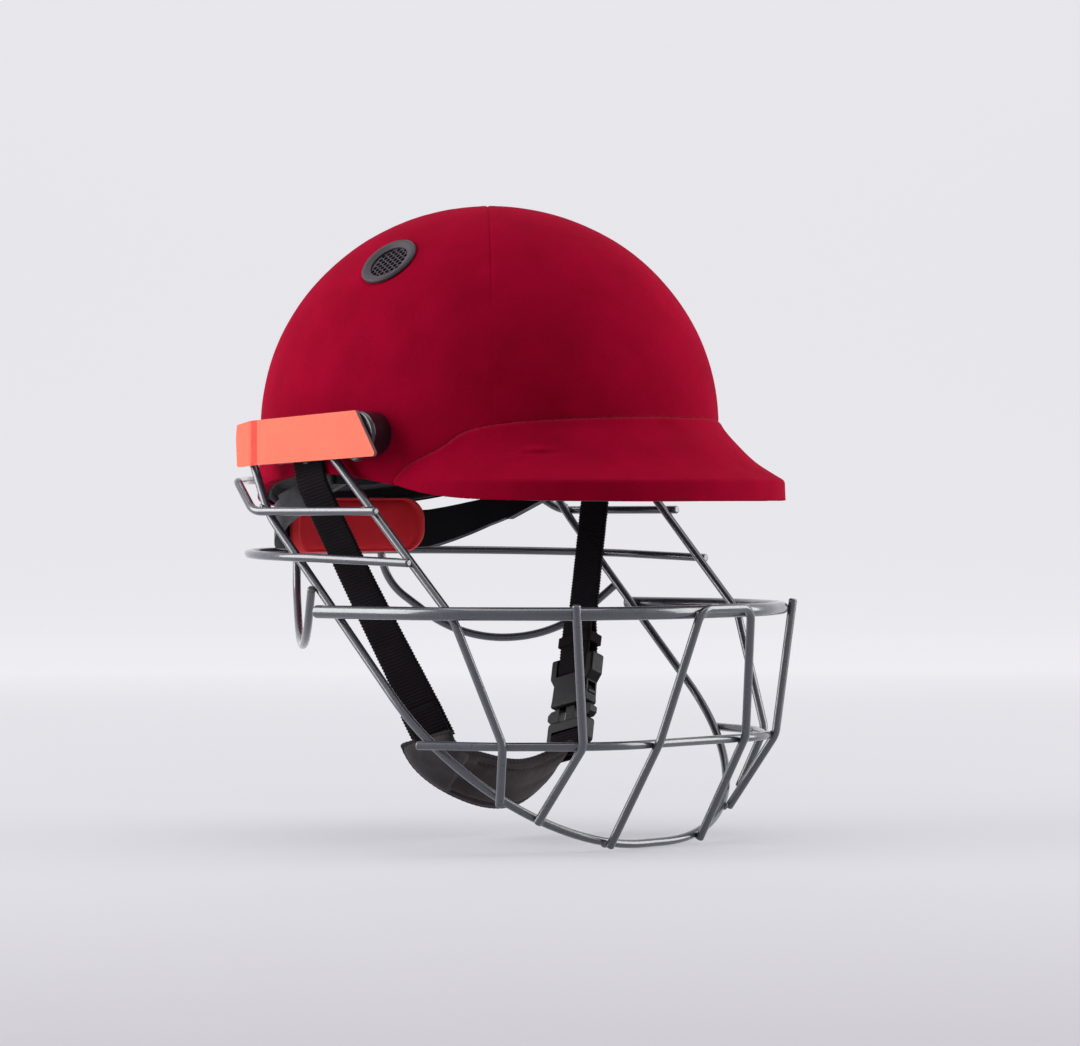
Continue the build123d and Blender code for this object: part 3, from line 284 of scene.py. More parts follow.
buckle_finish = mottled(
    "acetal_buckle", (0.005, 0.004, 0.006), (0.010, 0.009, 0.010), 190, 0.42,
    {"Specular IOR Level": 0.16}, 2600, 0.00004,
)
webbing_finish = woven("ribbed_webbing", (0.003, 0.0022, 0.0035), (0.012, 0.008, 0.010), 1.7, 0.8, 0.04)
thread = mottled("thread", (0.02, 0.016, 0.018), (0.05, 0.042, 0.042), 900, 0.8)
cup_cloth = knit("cup_fabric", (0.019, 0.014, 0.014), (0.038, 0.029, 0.029), 0.0009, 0.12)
patch_cloth = knit("patch_fabric", (0.030, 0.026, 0.029), (0.050, 0.044, 0.047), 0.0009, 0.1)
piping_finish = knit("piping_fabric", (0.013, 0.010, 0.011), (0.026, 0.021, 0.022), 0.0008, 0.08)

paint = Finish("gloss_paint", (0.05, 0.053, 0.075), 0.3, {
    "Coat Weight": 1.0, "Coat Roughness": 0.08, "Specular IOR Level": 0.6,
})
paint.colour(paint.mix(paint.noise(120, 4), (0.040, 0.041, 0.058), (0.053, 0.054, 0.075)))
paint.rough(paint.remap(paint.noise(200, 3), 0.3, 0.7, 0.24, 0.38))
paint.bump(paint.noise(420, 2), 0.3, 0.00012)
paint.bump(paint.noise(1400, 2), 0.15, 0.00003)

pad_red = Finish("red_padding", (0.3, 0.002, 0.006), 0.8, {
    "Sheen Weight": 0.3, "Sheen Roughness": 0.4, "Sheen Tint": (1, 0.4, 0.45), "Specular IOR Level": 0.25,
})
# Paler pinkish red where the mesh is marked: a painted highlight on the nape pad's piped rim.
pad_red.colour(pad_red.mix(
    pad_red.attribute("seam"),
    pad_red.mix(pad_red.noise(70, 4), (0.48, 0.002, 0.010), (0.66, 0.006, 0.018)),
    (0.75, 0.03, 0.04),
))
pad_red.bump(pad_red.noise(800, 3), 0.3, 0.0002)

# The badge plate: a printed face under clear plastic, with a bare moulded edge and painted shade along its
# bend
plate_finish = Finish("printed_plate", (0.9, 0.25, 0.15), 0.25, {
    "Coat Weight": 0.05, "Coat Roughness": 0.1, "Specular IOR Level": 0.12,
})
plate_place = plate_finish.split("Object")
plate_normal = plate_finish.split("Normal")
# Darker, more saturated stripe where the plate bends: painted shade of the bend.
BEND_SHADE_Y = 0.0507
BEND_SHADE_HALF = 0.0023
plate_face = plate_finish.mix(plate_finish.noise(90, 4), (0.86, 0.125, 0.058), (0.93, 0.150, 0.074))
from_bend = plate_finish.math("ABSOLUTE", plate_finish.math("SUBTRACT", plate_place[1], BEND_SHADE_Y))
in_bend_shade = plate_finish.math("LESS_THAN", from_bend, BEND_SHADE_HALF)
plate_face = plate_finish.mix(in_bend_shade, plate_face, (0.95, 0.022, 0.001))
on_edge = plate_finish.math("LESS_THAN", plate_finish.math("ABSOLUTE", plate_normal[0]), 0.8)
plate_finish.colour(plate_finish.mix(on_edge, plate_face, (0.25, 0.15, 0.16)))
plate_finish.rough(plate_finish.remap(plate_finish.noise(240, 3), 0.3, 0.7, 0.2, 0.34))
plate_finish.bump(plate_finish.noise(300, 2), 0.2, 0.00008)

FINISHES = {
    "shell_plastic": shell_finish,
    "cloth": wool,
    "board": board_cloth,
    "foam": foam_finish,
    "lining": lining,
    "vent_grey": vent_grey,
    "guard_paint": paint,
    "bracket_plastic": bracket_finish,
    "steel": steel,
    "tape": tape_finish,
    "plate": plate_finish,
    "cradle_plastic": cradle_finish,
    "nape_foam": pad_red,
    "dial_plastic": dial_finish,
    "webbing": webbing_finish,
    "buckle_plastic": buckle_finish,
    "chin_foam": cup_cloth,
}
for part in frame["record"]["subparts"]:
    for place in nodes[part["node"]].material_slots:
        place.material = FINISHES[part["material_slot"]].material


def make_piece(name, mesh, finish, body):
    """An object of a smooth-shaded mesh in one finish, riding on a body if one is named."""
    for face in mesh.polygons:
        face.use_smooth = True
    mesh.materials.append(finish.material)
    piece = bpy.data.objects.new(name, mesh)
    bpy.context.scene.collection.objects.link(piece)
    if body:
        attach(piece, body)
    return piece


def skin(name, points, finish, body, uv=None, seam=None, drop=None, solid=False):
    """A smooth mesh from rows of points in millimetres, riding on a body."""
    points = np.asarray(points, float)
    rows, columns = points.shape[:2]
    index = np.arange(rows * columns).reshape(rows, columns)
    quads = np.stack([index[:-1, :-1], index[:-1, 1:], index[1:, 1:], index[1:, :-1]], -1).reshape(-1, 4)
    flat = points.reshape(-1, 3)
    if drop is not None:
        quads = quads[~drop(flat[quads].mean(1))]
    mesh = bpy.data.meshes.new(name)
    mesh.from_pydata((flat * MM).tolist(), [], quads.tolist())
    if uv is not None:
        layer = mesh.uv_layers.new(name="UVMap")
        corners = np.empty(len(mesh.loops), int)
        mesh.loops.foreach_get("vertex_index", corners)
        layer.data.foreach_set("uv", np.asarray(uv, float).reshape(-1, 2)[corners].ravel())
    if seam is not None:
        mark = mesh.attributes.new("seam", "FLOAT", "POINT")
        mark.data.foreach_set("value", np.asarray(seam, float).ravel())
    shape = bmesh.new()
    shape.from_mesh(mesh)
    bmesh.ops.remove_doubles(shape, verts=shape.verts, dist=SAME_POINT)
    loose = [vertex for vertex in shape.verts if not vertex.link_faces]
    bmesh.ops.delete(shape, geom=loose, context="VERTS")
    if solid:
        bmesh.ops.recalc_face_normals(shape, faces=shape.faces)
    shape.to_mesh(mesh)
    shape.free()
    return make_piece(name, mesh, finish, body)


def capped(rows):
    """Rows of points round a form, with each end drawn in to its own middle."""
    middle = rows.mean(1, keepdims=True)
    count = rows.shape[1]
    return np.concatenate([np.repeat(middle[:1], count, 1), rows, np.repeat(middle[-1:], count, 1)])


def curve_through(knots, values):
    """A function that runs smoothly through values at knots, natural at its ends."""
    knots = np.asarray(knots, float)
    values = np.asarray(values, float)
    gaps = np.diff(knots)
    count = len(knots)
    system = np.eye(count)
    load = np.zeros((count,) + values.shape[1:])
    slopes = (np.diff(values, axis=0).T / gaps).T
    for i in range(1, count - 1):
        system[i, i - 1] = gaps[i - 1]
        system[i, i] = 2 * (gaps[i - 1] + gaps[i])
        system[i, i + 1] = gaps[i]
        load[i] = 6 * (slopes[i] - slopes[i - 1])
    bends = np.linalg.solve(system, load.reshape(count, -1)).reshape(load.shape)

    def at(place):
        place = np.asarray(place, float)
        low = np.clip(np.searchsorted(knots, place) - 1, 0, count - 2)
        gap = gaps[low]
        shape = place.shape + (1,) * (values.ndim - 1)
        a = ((knots[low + 1] - place) / gap).reshape(shape)
        b = ((place - knots[low]) / gap).reshape(shape)
        curve = ((a**3 - a) * bends[low] + (b**3 - b) * bends[low + 1]) * (gap**2).reshape(shape) / 6
        return a * values[low] + b * values[low + 1] + curve

    return at


def step_lengths(points, axis=0):
    """Distances between neighbours in rows or columns of points."""
    return np.linalg.norm(np.diff(points, axis=axis), axis=-1)


def length_along(line):
    """Distance along a line from its start to each of its points."""
    return np.concatenate([[0], np.cumsum(step_lengths(line))])


def to_last_row(grid):
    """Distance down each column of a grid from every point to the last row."""
    steps = step_lengths(grid)
    return np.concatenate([np.cumsum(steps[::-1], axis=0)[::-1], np.zeros((1, grid.shape[1]))])


def resample(line, places):
    """Points of a polyline at the given shares of its length."""
    length = length_along(line)
    at = np.asarray(places) * length[-1]
    return np.stack([np.interp(at, length, line[:, k]) for k in range(line.shape[1])], -1), length[-1]


def unit(vectors):
    """Vectors scaled to length one."""
    vectors = np.asarray(vectors, float)
    return vectors / np.maximum(np.linalg.norm(vectors, axis=-1, keepdims=True), 1e-9)


def surface_normals(points):
    """Unit normals of a grid of points, from its rows and columns."""
    along = np.gradient(points, axis=0)
    across = np.gradient(points, axis=1)
    return unit(np.cross(along, across))


def ripple(points, size):
    """Soft repeatable noise at points, from -1 to 1, features about size across."""
    flat = points.reshape(-1, 3) / size
    values = [noise.noise(Vector(p)) for p in flat]
    return np.array(values).reshape(points.shape[:-1])


def bell(distance, width):
    """A soft bump, 1 at no distance and near 0 at twice the width."""
    return np.exp(-((distance / width) ** 2))


# The dome and the peak as the CAD has them
HALF_WIDTH = 105.0
HALF_LENGTH = 125.0
RISE = 111.5
EQUATOR = 38.0
SKIRT = 58.0
FLARE = 2.5
CLOTH = 2.0
RIM = np.array([
    (-190, -1), (-110, 0), (-60, 3), (-27, 9), (5, 13.5), (45, 13), (84, 7), (112, 0), (150, -4),
], float)
rim_height = curve_through(RIM[:, 0], RIM[:, 1])
# Peak outline by height: height, centre y, half width and half length
LEVELS = np.array([
    (-20, -58, 105.5, 107.8), (7, -58, 104.5, 106.8), (15, -46.5, 99.5, 104), (24, -36, 95.3, 104),
    (33, -27, 95.5, 102), (47, -18, 89, 104),
], float)
peak_above = curve_through(LEVELS[1:, 0], LEVELS[1:, 1:])
HEM = 0.5
SEAMS = [radians(a) for a in (44, 136, 224, 316)]
VENT = np.array([(73.5, 0, 120.5), (-73.5, 0, 120.5)], float)
VENT_AXIS = np.array([(sin(pi / 4), 0, cos(pi / 4)), (-sin(pi / 4), 0, cos(pi / 4))])


def dome_reach(angle, z, grow):
    """Distance from the Z axis to the dome at a plan angle and height."""
    across = HALF_WIDTH + grow
    along = HALF_LENGTH + grow
    c, s = np.cos(angle), np.sin(angle)
    above = np.clip((z - EQUATOR) / (RISE + grow), 0, 1)
    upper = np.sqrt(np.maximum(1 - above**2, 0)) / np.sqrt((c / across) ** 2 + (s / along) ** 2)
    shift = FLARE * np.clip((EQUATOR - z) / SKIRT, 0, 1.2)
    length = along + shift
    a = (c / across) ** 2 + (s / length) ** 2
    b = -2 * s * shift / length**2
    k = shift**2 / length**2 - 1
    lower = (-b + np.sqrt(b**2 - 4 * a * k)) / (2 * a)
    return np.where(z >= EQUATOR, upper, lower)


def in_dome(point, grow):
    """How far a point is outside the dome in plan, less than zero inside."""
    angle = np.arctan2(point[..., 1], point[..., 0])
    reach = np.hypot(point[..., 0], point[..., 1])
    return reach - dome_reach(angle, point[..., 2], grow)


def peak_size(z):
    """Centre y, half width and half length of the peak's outline at a height, on the cloth."""
    level = np.asarray(z, float) - CLOTH
    above = peak_above(np.clip(level, LEVELS[1, 0], LEVELS[-1, 0]))
    share = np.clip((level - LEVELS[0, 0]) / (LEVELS[1, 0] - LEVELS[0, 0]), 0, 1)[..., None]
    below = LEVELS[0, 1:] * (1 - share) + LEVELS[1, 1:] * share
    size = np.where((level < LEVELS[1, 0])[..., None], below, above)
    return size[..., 0], size[..., 1] + CLOTH, size[..., 2] + CLOTH


def in_peak(point):
    """Less than zero where a point is inside the peak's outline."""
    middle, width, length = peak_size(point[..., 2])
    return (point[..., 0] / width) ** 2 + ((point[..., 1] - middle) / length) ** 2 - 1


def first_below(values):
    """Index of the first value under zero, or -1."""
    under = np.nonzero(values < 0)[0]
    return int(under[0]) if len(under) else -1


def cloth_column(angle):
    """One line down the dome's cloth from the crown to the peak's seam or the hem."""
    turn = np.linspace(0.006, pi / 2, 160)
    c, s = cos(angle), sin(angle)
    a, b = HALF_WIDTH + CLOTH, HALF_LENGTH + CLOTH
    reach = np.sin(turn) / np.sqrt((c / a) ** 2 + (s / b) ** 2)
    upper = np.stack([reach * c, reach * s, EQUATOR + (RISE + CLOTH) * np.cos(turn)], -1)
    z = np.linspace(EQUATOR, -6, 180)[1:]
    reach = dome_reach(angle, z, CLOTH)
    lower = np.stack([reach * c, reach * s, z], -1)
    line = np.concatenate([upper, lower])
    to_hem = line[:, 2] - (rim_height(line[:, 1]) - HEM)
    to_peak = np.where(line[:, 2] < 49, in_peak(line), 1)
    ends = [(first_below(to_hem), to_hem, 0.0)]
    if s < 0.2:
        ends.append((first_below(to_peak), to_peak, 1.0))
    stop, measure, on_peak = min((e for e in ends if e[0] > 0), key=lambda e: e[0])
    share = measure[stop - 1] / (measure[stop - 1] - measure[stop])
    last = line[stop - 1] + (line[stop] - line[stop - 1]) * share
    return np.concatenate([line[:stop], [last]]), on_peak


def dome_normals(points):
    """Outward directions of the dome's cloth at points on it."""
    above = np.maximum(points[..., 2] - EQUATOR, 0)
    return unit(np.stack([
        points[..., 0] / (HALF_WIDTH + CLOTH) ** 2,
        points[..., 1] / (HALF_LENGTH + CLOTH) ** 2,
        above / (RISE + CLOTH) ** 2,
    ], -1))


# Steps in from a panel's hem and from its gore seams, closer where the cloth turns
EDGE_STEPS = np.array([0, 0.25, 0.5, 0.8, 1.15, 1.6, 2.2, 3.0, 4.0, 5.3, 7.0])
SEAM_STEPS = np.array([0, 0.15, 0.3, 0.5, 0.75, 1.1, 1.6, 2.3, 3.2, 4.3, 5.5])
GORE_SPAN = 92
COLUMN_SPAN = np.concatenate([
    SEAM_STEPS[:-1],
    np.linspace(SEAM_STEPS[-1], GORE_SPAN - SEAM_STEPS[-1], 100)[:-1],
    GORE_SPAN - SEAM_STEPS[::-1],
])
VENT_HOLE = 13.9
VENT_RIM = 14.6
# Height where the gore seams have faded, and over which they fade
SEAM_FADED = 92
SEAM_FADE = 34
# How the hem turns in under the rim: depth in and rise from the edge
CROWN_HEM = ((0.35, -0.28), (0.9, -0.45), (1.8, -0.5), (3.2, -0.42), (4.9, -0.3))
PEAK_HEM = ((9.0, 1.15), (6.0, 0.5), (3.5, 0.1), (1.9, -0.1), (0.9, -0.06), (0.3, 0.08))


def off_vents(points):
    """For each vent, distance off its axis and whether a point is on its side of the dome."""
    for centre, axis in zip(VENT, VENT_AXIS):
        offset = points - centre
        along = offset @ axis
        yield np.linalg.norm(offset - along[..., None] * axis, axis=-1), along > -20


def over_vent(middles):
    """Faces that lie over a vent's hole."""
    return sum((off_axis < VENT_HOLE) & near for off_axis, near in off_vents(middles)) > 0


def crown_panel(name, start, stop, replaced):
    """One gore of the crown's cloth with turned-in seams, rounded round the hem."""
    share = COLUMN_SPAN / COLUMN_SPAN[-1]
    grid = []
    peak_ends = []
    for angle in start + (stop - start) * share:
        line, on_peak = cloth_column(angle)
        edge_shares = 1 - EDGE_STEPS[::-1] / length_along(line)[-1]
        shares = np.concatenate([np.linspace(0, edge_shares[0], 120)[:-1], edge_shares])
        grid.append(resample(line, shares)[0])
        peak_ends.append(on_peak)
    points = np.array(grid).transpose(1, 0, 2)
    peak_ends = np.array(peak_ends)[None, :]
    normals = dome_normals(points)
    plan = np.hypot(points[..., 0], points[..., 1])
    angle = np.arctan2(points[..., 1], points[..., 0])
    to_gore = np.full(points.shape[:2], 1e3)
    for seam in SEAMS:
        aside = np.abs(plan * np.sin(angle - seam))
        facing = np.cos(angle - seam) > 0
        to_gore = np.where(facing, np.minimum(to_gore, aside), to_gore)
    to_end = to_last_row(points)
    fade = 0.10 + 0.90 * np.clip((points[..., 2] - SEAM_FADED) / SEAM_FADE, 0, 1)
    lift = -0.42 * bell(to_gore, 0.6) * fade
    lift += 0.08 * fade * bell(to_gore - 2.6, 1.6)
    lift += 0.14 * ripple(points, 5.0) * bell(to_gore, 4.0)
    lift += peak_ends * -0.30 * bell(to_end, 0.8)
    lift += peak_ends * 0.16 * ripple(points, 4.0) * bell(to_end, 5.0)
    lift += 0.22 * ripple(points, 26.0)
    for off_axis, near in off_vents(points):
        lift += np.where(near, -0.55 * bell(off_axis - VENT_RIM, 2.0), 0)
    moved = points + normals * lift[..., None]
    inward = -unit(points[-1] * [1, 1, 0])
    turned = []
    for depth, rise in CROWN_HEM:
        at_hem = points[-1] + inward * depth + [0, 0, rise]
        turned.append(np.where(peak_ends.T > 0, moved[-1] + inward * depth * 0.4, at_hem))
    moved = np.concatenate([moved, np.array(turned)])
    # Mark for the cloth's painted highlight along the seam with the peak.
    mark = 0.7 * peak_ends * bell(to_end, 0.8)
    mark = np.concatenate([mark, np.zeros((len(turned), mark.shape[1]))])
    piece = skin(name, moved, wool, "helmet", seam=mark, drop=over_vent)
    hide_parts(replaced)
    return piece, points


for side, start, stop in (("left", -44, 44), ("back", 44, 136), ("right", 136, 224), ("front", 224, 316)):
    crown_panel(f"crown_cloth_{side}", radians(start), radians(stop), f"crown_cover_{side}")

# Peak cloth: over the top, round the rim and turned in underneath
DARTS = np.array([
    ((-91.0, -74.0, 9.0), (-83.0, -96.0, 20.0)),
    ((91.0, -76.0, 9.0), (84.0, -95.0, 19.0)),
])
PUCKERS = np.array([(-78.0, -104.0, 24.0), (76.0, -103.0, 25.0)])
PEAK_TURNS = np.concatenate([
    np.linspace(-2.3, -1.2, 160)[:-1], np.linspace(-1.2, 1.2, 200), np.linspace(1.2, 2.3, 160)[1:],
])
PEAK_MIDDLE_Y = -40.0
CORNER_EASE = 2.6
EVEN_STEPS = 240


def peak_column(turn):
    """One line up the peak's cloth from the hem to the seam with the crown."""
    c, s = cos(turn), sin(turn)
    z = np.linspace(-4, 48.9, 420)
    middle, width, length = peak_size(z)
    line = np.stack([width * s, middle - length * c, z], -1)
    start = first_below(rim_height(line[:, 1]) - HEM - line[:, 2])
    stop = first_below(in_dome(line[start:], CLOTH))
    if stop < 2:
        return None
    return line[start:start + stop + 1]


def ease_corners(line, reach):
    """Round a line's corners by averaging along it, its ends kept."""
    even, length = resample(line, np.linspace(0, 1, EVEN_STEPS + 1))
    spread = max(1, int(reach / length * EVEN_STEPS))
    kernel = np.hanning(2 * spread + 3)[1:-1]
    kernel /= kernel.sum()
    padded = np.concatenate([2 * even[0] - even[spread:0:-1], even, 2 * even[-1] - even[-2:-spread - 2:-1]])
    return np.stack([np.convolve(padded[:, k], kernel, "valid") for k in range(3)], -1), length


columns = []
for column in [found for found in map(peak_column, PEAK_TURNS) if found is not None]:
    line, length = ease_corners(column, CORNER_EASE)
    tail = np.minimum(EDGE_STEPS[::-1] / max(length, 15), 0.45)
    columns.append(resample(line, np.concatenate([np.linspace(0, 1 - tail[0], 64)[:-1], 1 - tail]))[0])
peak_grid = np.array(columns).transpose(1, 0, 2)
peak_normals = -surface_normals(peak_grid)
outward = peak_grid - [0, PEAK_MIDDLE_Y, 0]
flip = np.sign((peak_normals * outward).sum(-1, keepdims=True))
peak_normals = peak_normals * np.where(flip == 0, 1, flip)
to_top = to_last_row(peak_grid)
lift = -0.12 * bell(to_top, 0.5) + 0.20 * bell(to_top - 2.4, 1.5)
lift += 0.18 * ripple(peak_grid, 4.0) * bell(to_top, 5.0)
lift += 0.25 * ripple(peak_grid, 22.0) + 0.12 * ripple(peak_grid, 9.0)
for first, second in DARTS:
    run = second - first
    share = np.clip(((peak_grid - first) @ run) / (run @ run), 0, 1)
    away = np.linalg.norm(peak_grid - first - share[..., None] * run, axis=-1)
    lift += -0.8 * bell(away, 1.0) + 0.35 * bell(away - 2.4, 1.3)
for middle in PUCKERS:
    offset = peak_grid - middle
    away = np.linalg.norm(offset * [0.6, 0.6, 2.4], axis=-1)
    dip = ((offset[..., 2] + 1.6) * 1.6) ** 2 + (away / 4) ** 2
    lift += 0.9 * bell(away, 3.4) - 0.7 * np.exp(-dip / 3)
peak_shape = peak_grid + peak_normals * lift[..., None]
rim_row = peak_grid[0]
towards = unit(([0, PEAK_MIDDLE_Y, 0] - rim_row) * [1, 1, 0])
turned = [rim_row + towards * depth + [0, 0, rise] for depth, rise in PEAK_HEM]
peak_shape = np.concatenate([np.array(turned), peak_shape])
# Mark for the cloth's painted highlight along the seam with the crown.
mark = np.concatenate([np.zeros((len(turned), peak_grid.shape[1])), bell(to_top, 0.8)])
peak_cloth = skin("peak_cloth", peak_shape, wool, "helmet", seam=mark)
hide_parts("peak_cover")


# Rolled binding inside the rim
NUTS = np.array([(x, y, 23.5) for x in (102, -102) for y in (-17, 23.8)])
NUT_ROOM = 8.3
TRIM_SECTION = [
    (-3.2, 12.8), (-3.2, 6.0), (-3.2, 0.4), (-3.4, -0.6), (-4.1, -1.15), (-4.9, -0.9), (-5.35, -0.1),
    (-5.45, 0.9), (-5.2, 1.6), (-5.35, 2.6), (-5.5, 5.0), (-5.5, 8.5), (-5.4, 11.8), (-4.9, 12.7),
    (-3.9, 12.9), (-3.2, 12.8),
]
TRIM_REACH = 115
TRIM_GIRTH = 30


def nut_clear(middles):
    """Faces that would lie over a nut."""
    over = [
        (np.hypot(middles[:, 1] - y, middles[:, 2] - z) < NUT_ROOM) & (middles[:, 0] * x > 0)
        for x, y, z in NUTS
    ]
    return np.any(over, axis=0)


angles = np.linspace(0, 2 * pi, 361)
rows = []
for grow, rise in TRIM_SECTION:
    guess = np.zeros_like(angles)
    for _ in range(3):
        reach = dome_reach(angles, guess, grow)
        guess = rim_height(reach * np.sin(angles)) + rise
    reach = dome_reach(angles, guess, grow)
    rows.append(np.stack([reach * np.cos(angles), reach * np.sin(angles), guess], -1))
rows = np.array(rows)
around = np.broadcast_to(angles * TRIM_REACH, rows.shape[:2])
over = np.broadcast_to(np.linspace(0, TRIM_GIRTH, len(TRIM_SECTION))[:, None], rows.shape[:2])
trim = skin(
    "rim_binding", rows, binding, "helmet", uv=np.stack([over, around], -1), drop=nut_clear, solid=True,
)
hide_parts("rim_trim")


def wall_point(axis, sign, flat, grow):
    """Points on the inner dome at flat places seen along an axis: 0 is X, 1 is Y and 2 is Z."""
    size = (HALF_WIDTH + grow, HALF_LENGTH + grow, RISE + grow)
    first, second = [size[k] for k in range(3) if k != axis]
    height = flat[:, 1] if axis == 2 else np.maximum(flat[:, 1] - EQUATOR, 0)
    left = np.maximum(1 - (flat[:, 0] / first) ** 2 - (height / second) ** 2, 0.01)
    deep = sign * size[axis] * np.sqrt(left) + (EQUATOR if axis == 2 else 0)
    return np.insert(flat, axis, deep, axis=1)


def rounded_outline(size, corner, count):
    """Points round a rectangle with rounded corners, evenly spaced."""
    half = np.array(size) / 2 - corner
    line = []
    for turn, sx, sy in ((0, 1, 1), (90, -1, 1), (180, -1, -1), (270, 1, -1)):
        for step in np.linspace(0, 90, 13):
            a = radians(turn + step)
            line.append((sx * half[0] + corner * cos(a), sy * half[1] + corner * sin(a)))
    line.append(line[0])
    return resample(np.array(line), np.linspace(0, 1, count + 1))[0]


PAD_WALL = 6.7
FOAM_INSIDE = -19.2
CHANNEL_DEPTH = 0.24
CHANNEL_WIDTH = 1.6


def comfort_pad(name, node, axis, sign, centre, size, corner, channels):
    """A crowned pad on the foam with a sewn edge and sewn channels."""
    outline = rounded_outline(size, corner, 120)
    inner_shares = np.concatenate([np.linspace(0, 0.86, 22), [0.9, 0.93, 0.955, 0.975, 0.99, 1.0]])
    rows = []
    for share in inner_shares:
        flat = outline * share
        crowned = np.full(len(flat), 0.30 + 0.70 * (1 - share**7) ** 0.5)
        for direction, offset in channels:
            sewn = bell(flat[:, direction] - offset, CHANNEL_WIDTH)
            crowned -= CHANNEL_DEPTH * sewn * min(1, (1 - share) * 6)
        rows.append(wall_point(axis, sign, flat + centre, FOAM_INSIDE - PAD_WALL * crowned))
    for share in (0.995, 0.96, 0.6, 0.0):
        rows.append(wall_point(axis, sign, outline * share + centre, FOAM_INSIDE))
    piece = skin(name, np.array(rows), lining, "helmet", solid=True)
    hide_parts(node)


comfort_pad("crown_cushion", "crown_pad", 2, 1, (0, 0), (87, 87), 43, [(0, -14), (0, 14)])
comfort_pad("brow_cushion", "brow_pad", 1, -1, (0, 30), (115, 39), 16, [(0, -19), (0, 19)])
comfort_pad("back_cushion", "back_pad", 1, 1, (0, 44), (103, 45), 16, [(0, -17), (0, 17)])
for side, sign in (("left", 1), ("right", -1)):
    comfort_pad(f"temple_cushion_{side}", f"temple_pad_{side}", 0, sign, (-24, 42), (59, 37), 14, [(0, 0)])

# Nape pad inside the cradle band, with a piped edge
PAD_STRAIGHT = 26.0
PAD_TURN = 52.0
PAD_BACK = 97.6
PAD_SIZE = (101, 29.4)
PAD_CORNER = 12
PAD_Z = -13
PIPING_AT = 0.955
PIPING_GROOVE_AT = 0.89


def nape_point(flat, inward):
    """Points of the nape pad: flat places round it and up it, and how far they are in from its middle."""
    across = np.abs(flat[:, 0])
    over = np.maximum(across - PAD_STRAIGHT, 0) / PAD_TURN
    radius = PAD_TURN - inward
    x = np.sign(flat[:, 0]) * (np.minimum(across, PAD_STRAIGHT) + radius * np.sin(over))
    y = PAD_BACK - PAD_TURN + radius * np.cos(over)
    return np.stack([x, y, flat[:, 1] + PAD_Z], -1)


# Rings of the nape pad: share of its outline, how far in, and how much of the paler rim tone, a painted
# highlight on the piping
rings = []
for share in np.concatenate([np.linspace(0, 0.84, 20), [0.88, 0.91, 0.935, 0.955, 0.97, 0.98, 0.99, 1.0]]):
    crowned = -1.2 + 4.6 * (1 - share**5) ** 0.6
    piped = 1.3 * bell(share - PIPING_AT, 0.022) - 0.7 * bell(share - PIPING_GROOVE_AT, 0.02)
    rings.append((share, crowned + piped, np.clip((share - 0.9) / 0.03, 0, 1)))
rings += [(1.0, -2.6, 1), (0.97, -3.4, 0), (0.5, -3.45, 0), (0.0, -3.45, 0)]
outline = rounded_outline(PAD_SIZE, PAD_CORNER, 160)
rows = np.array([nape_point(outline * share, inward) for share, inward, _ in rings])
marks = np.repeat([mark for _, _, mark in rings], len(outline))
nape = skin("nape_cushion", rows, pad_red, "cradle", seam=marks, solid=True)
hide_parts("nape_pad")

# Chin strap directions on the left, up along it, across it and out of its face
PIVOT = np.array([108.1, 23.8, 23.5])
LOW = np.array([58.5, -7.0, -104.0])
rear = unit([0, PIVOT[1] - LOW[1], PIVOT[2] - LOW[2]])
BEND = PIVOT - rear * 15.5
UP = unit(BEND - LOW)
ACROSS = np.array([0, rear[2], -rear[1]])
OUT = np.cross(ACROSS, UP)
BUCKLE = LOW + UP * 22.4
FLIP = np.array([-1.0, 1.0, 1.0])


def rounded_route(points, radii, spacing):
    """A dense line along straight runs joined by tangent arcs."""
    points = [np.asarray(p, float) for p in points]
    line = [points[0]]
    for before, corner, after, radius in zip(points, points[1:], points[2:], radii):
        a, b = unit(before - corner), unit(after - corner)
        half = np.arccos(np.clip(a @ b, -1, 1)) / 2
        reach = radius / np.tan(half)
        start, stop = corner + a * reach, corner + b * reach
        centre = corner + unit(a + b) * radius / np.sin(half)
        for share in np.linspace(0, 1, 14):
            guess = start + (stop - start) * share
            line.append(centre + unit(guess - centre) * radius)
    line = np.array(line + [points[-1]])
    count = int(length_along(line)[-1] / spacing)
    return resample(line, np.linspace(0, 1, count + 1))


WEB_WIDTH = 20.0
WEB_WALL = 1.8
RIB_PITCH = 1.7
END_RADIUS = 9.9


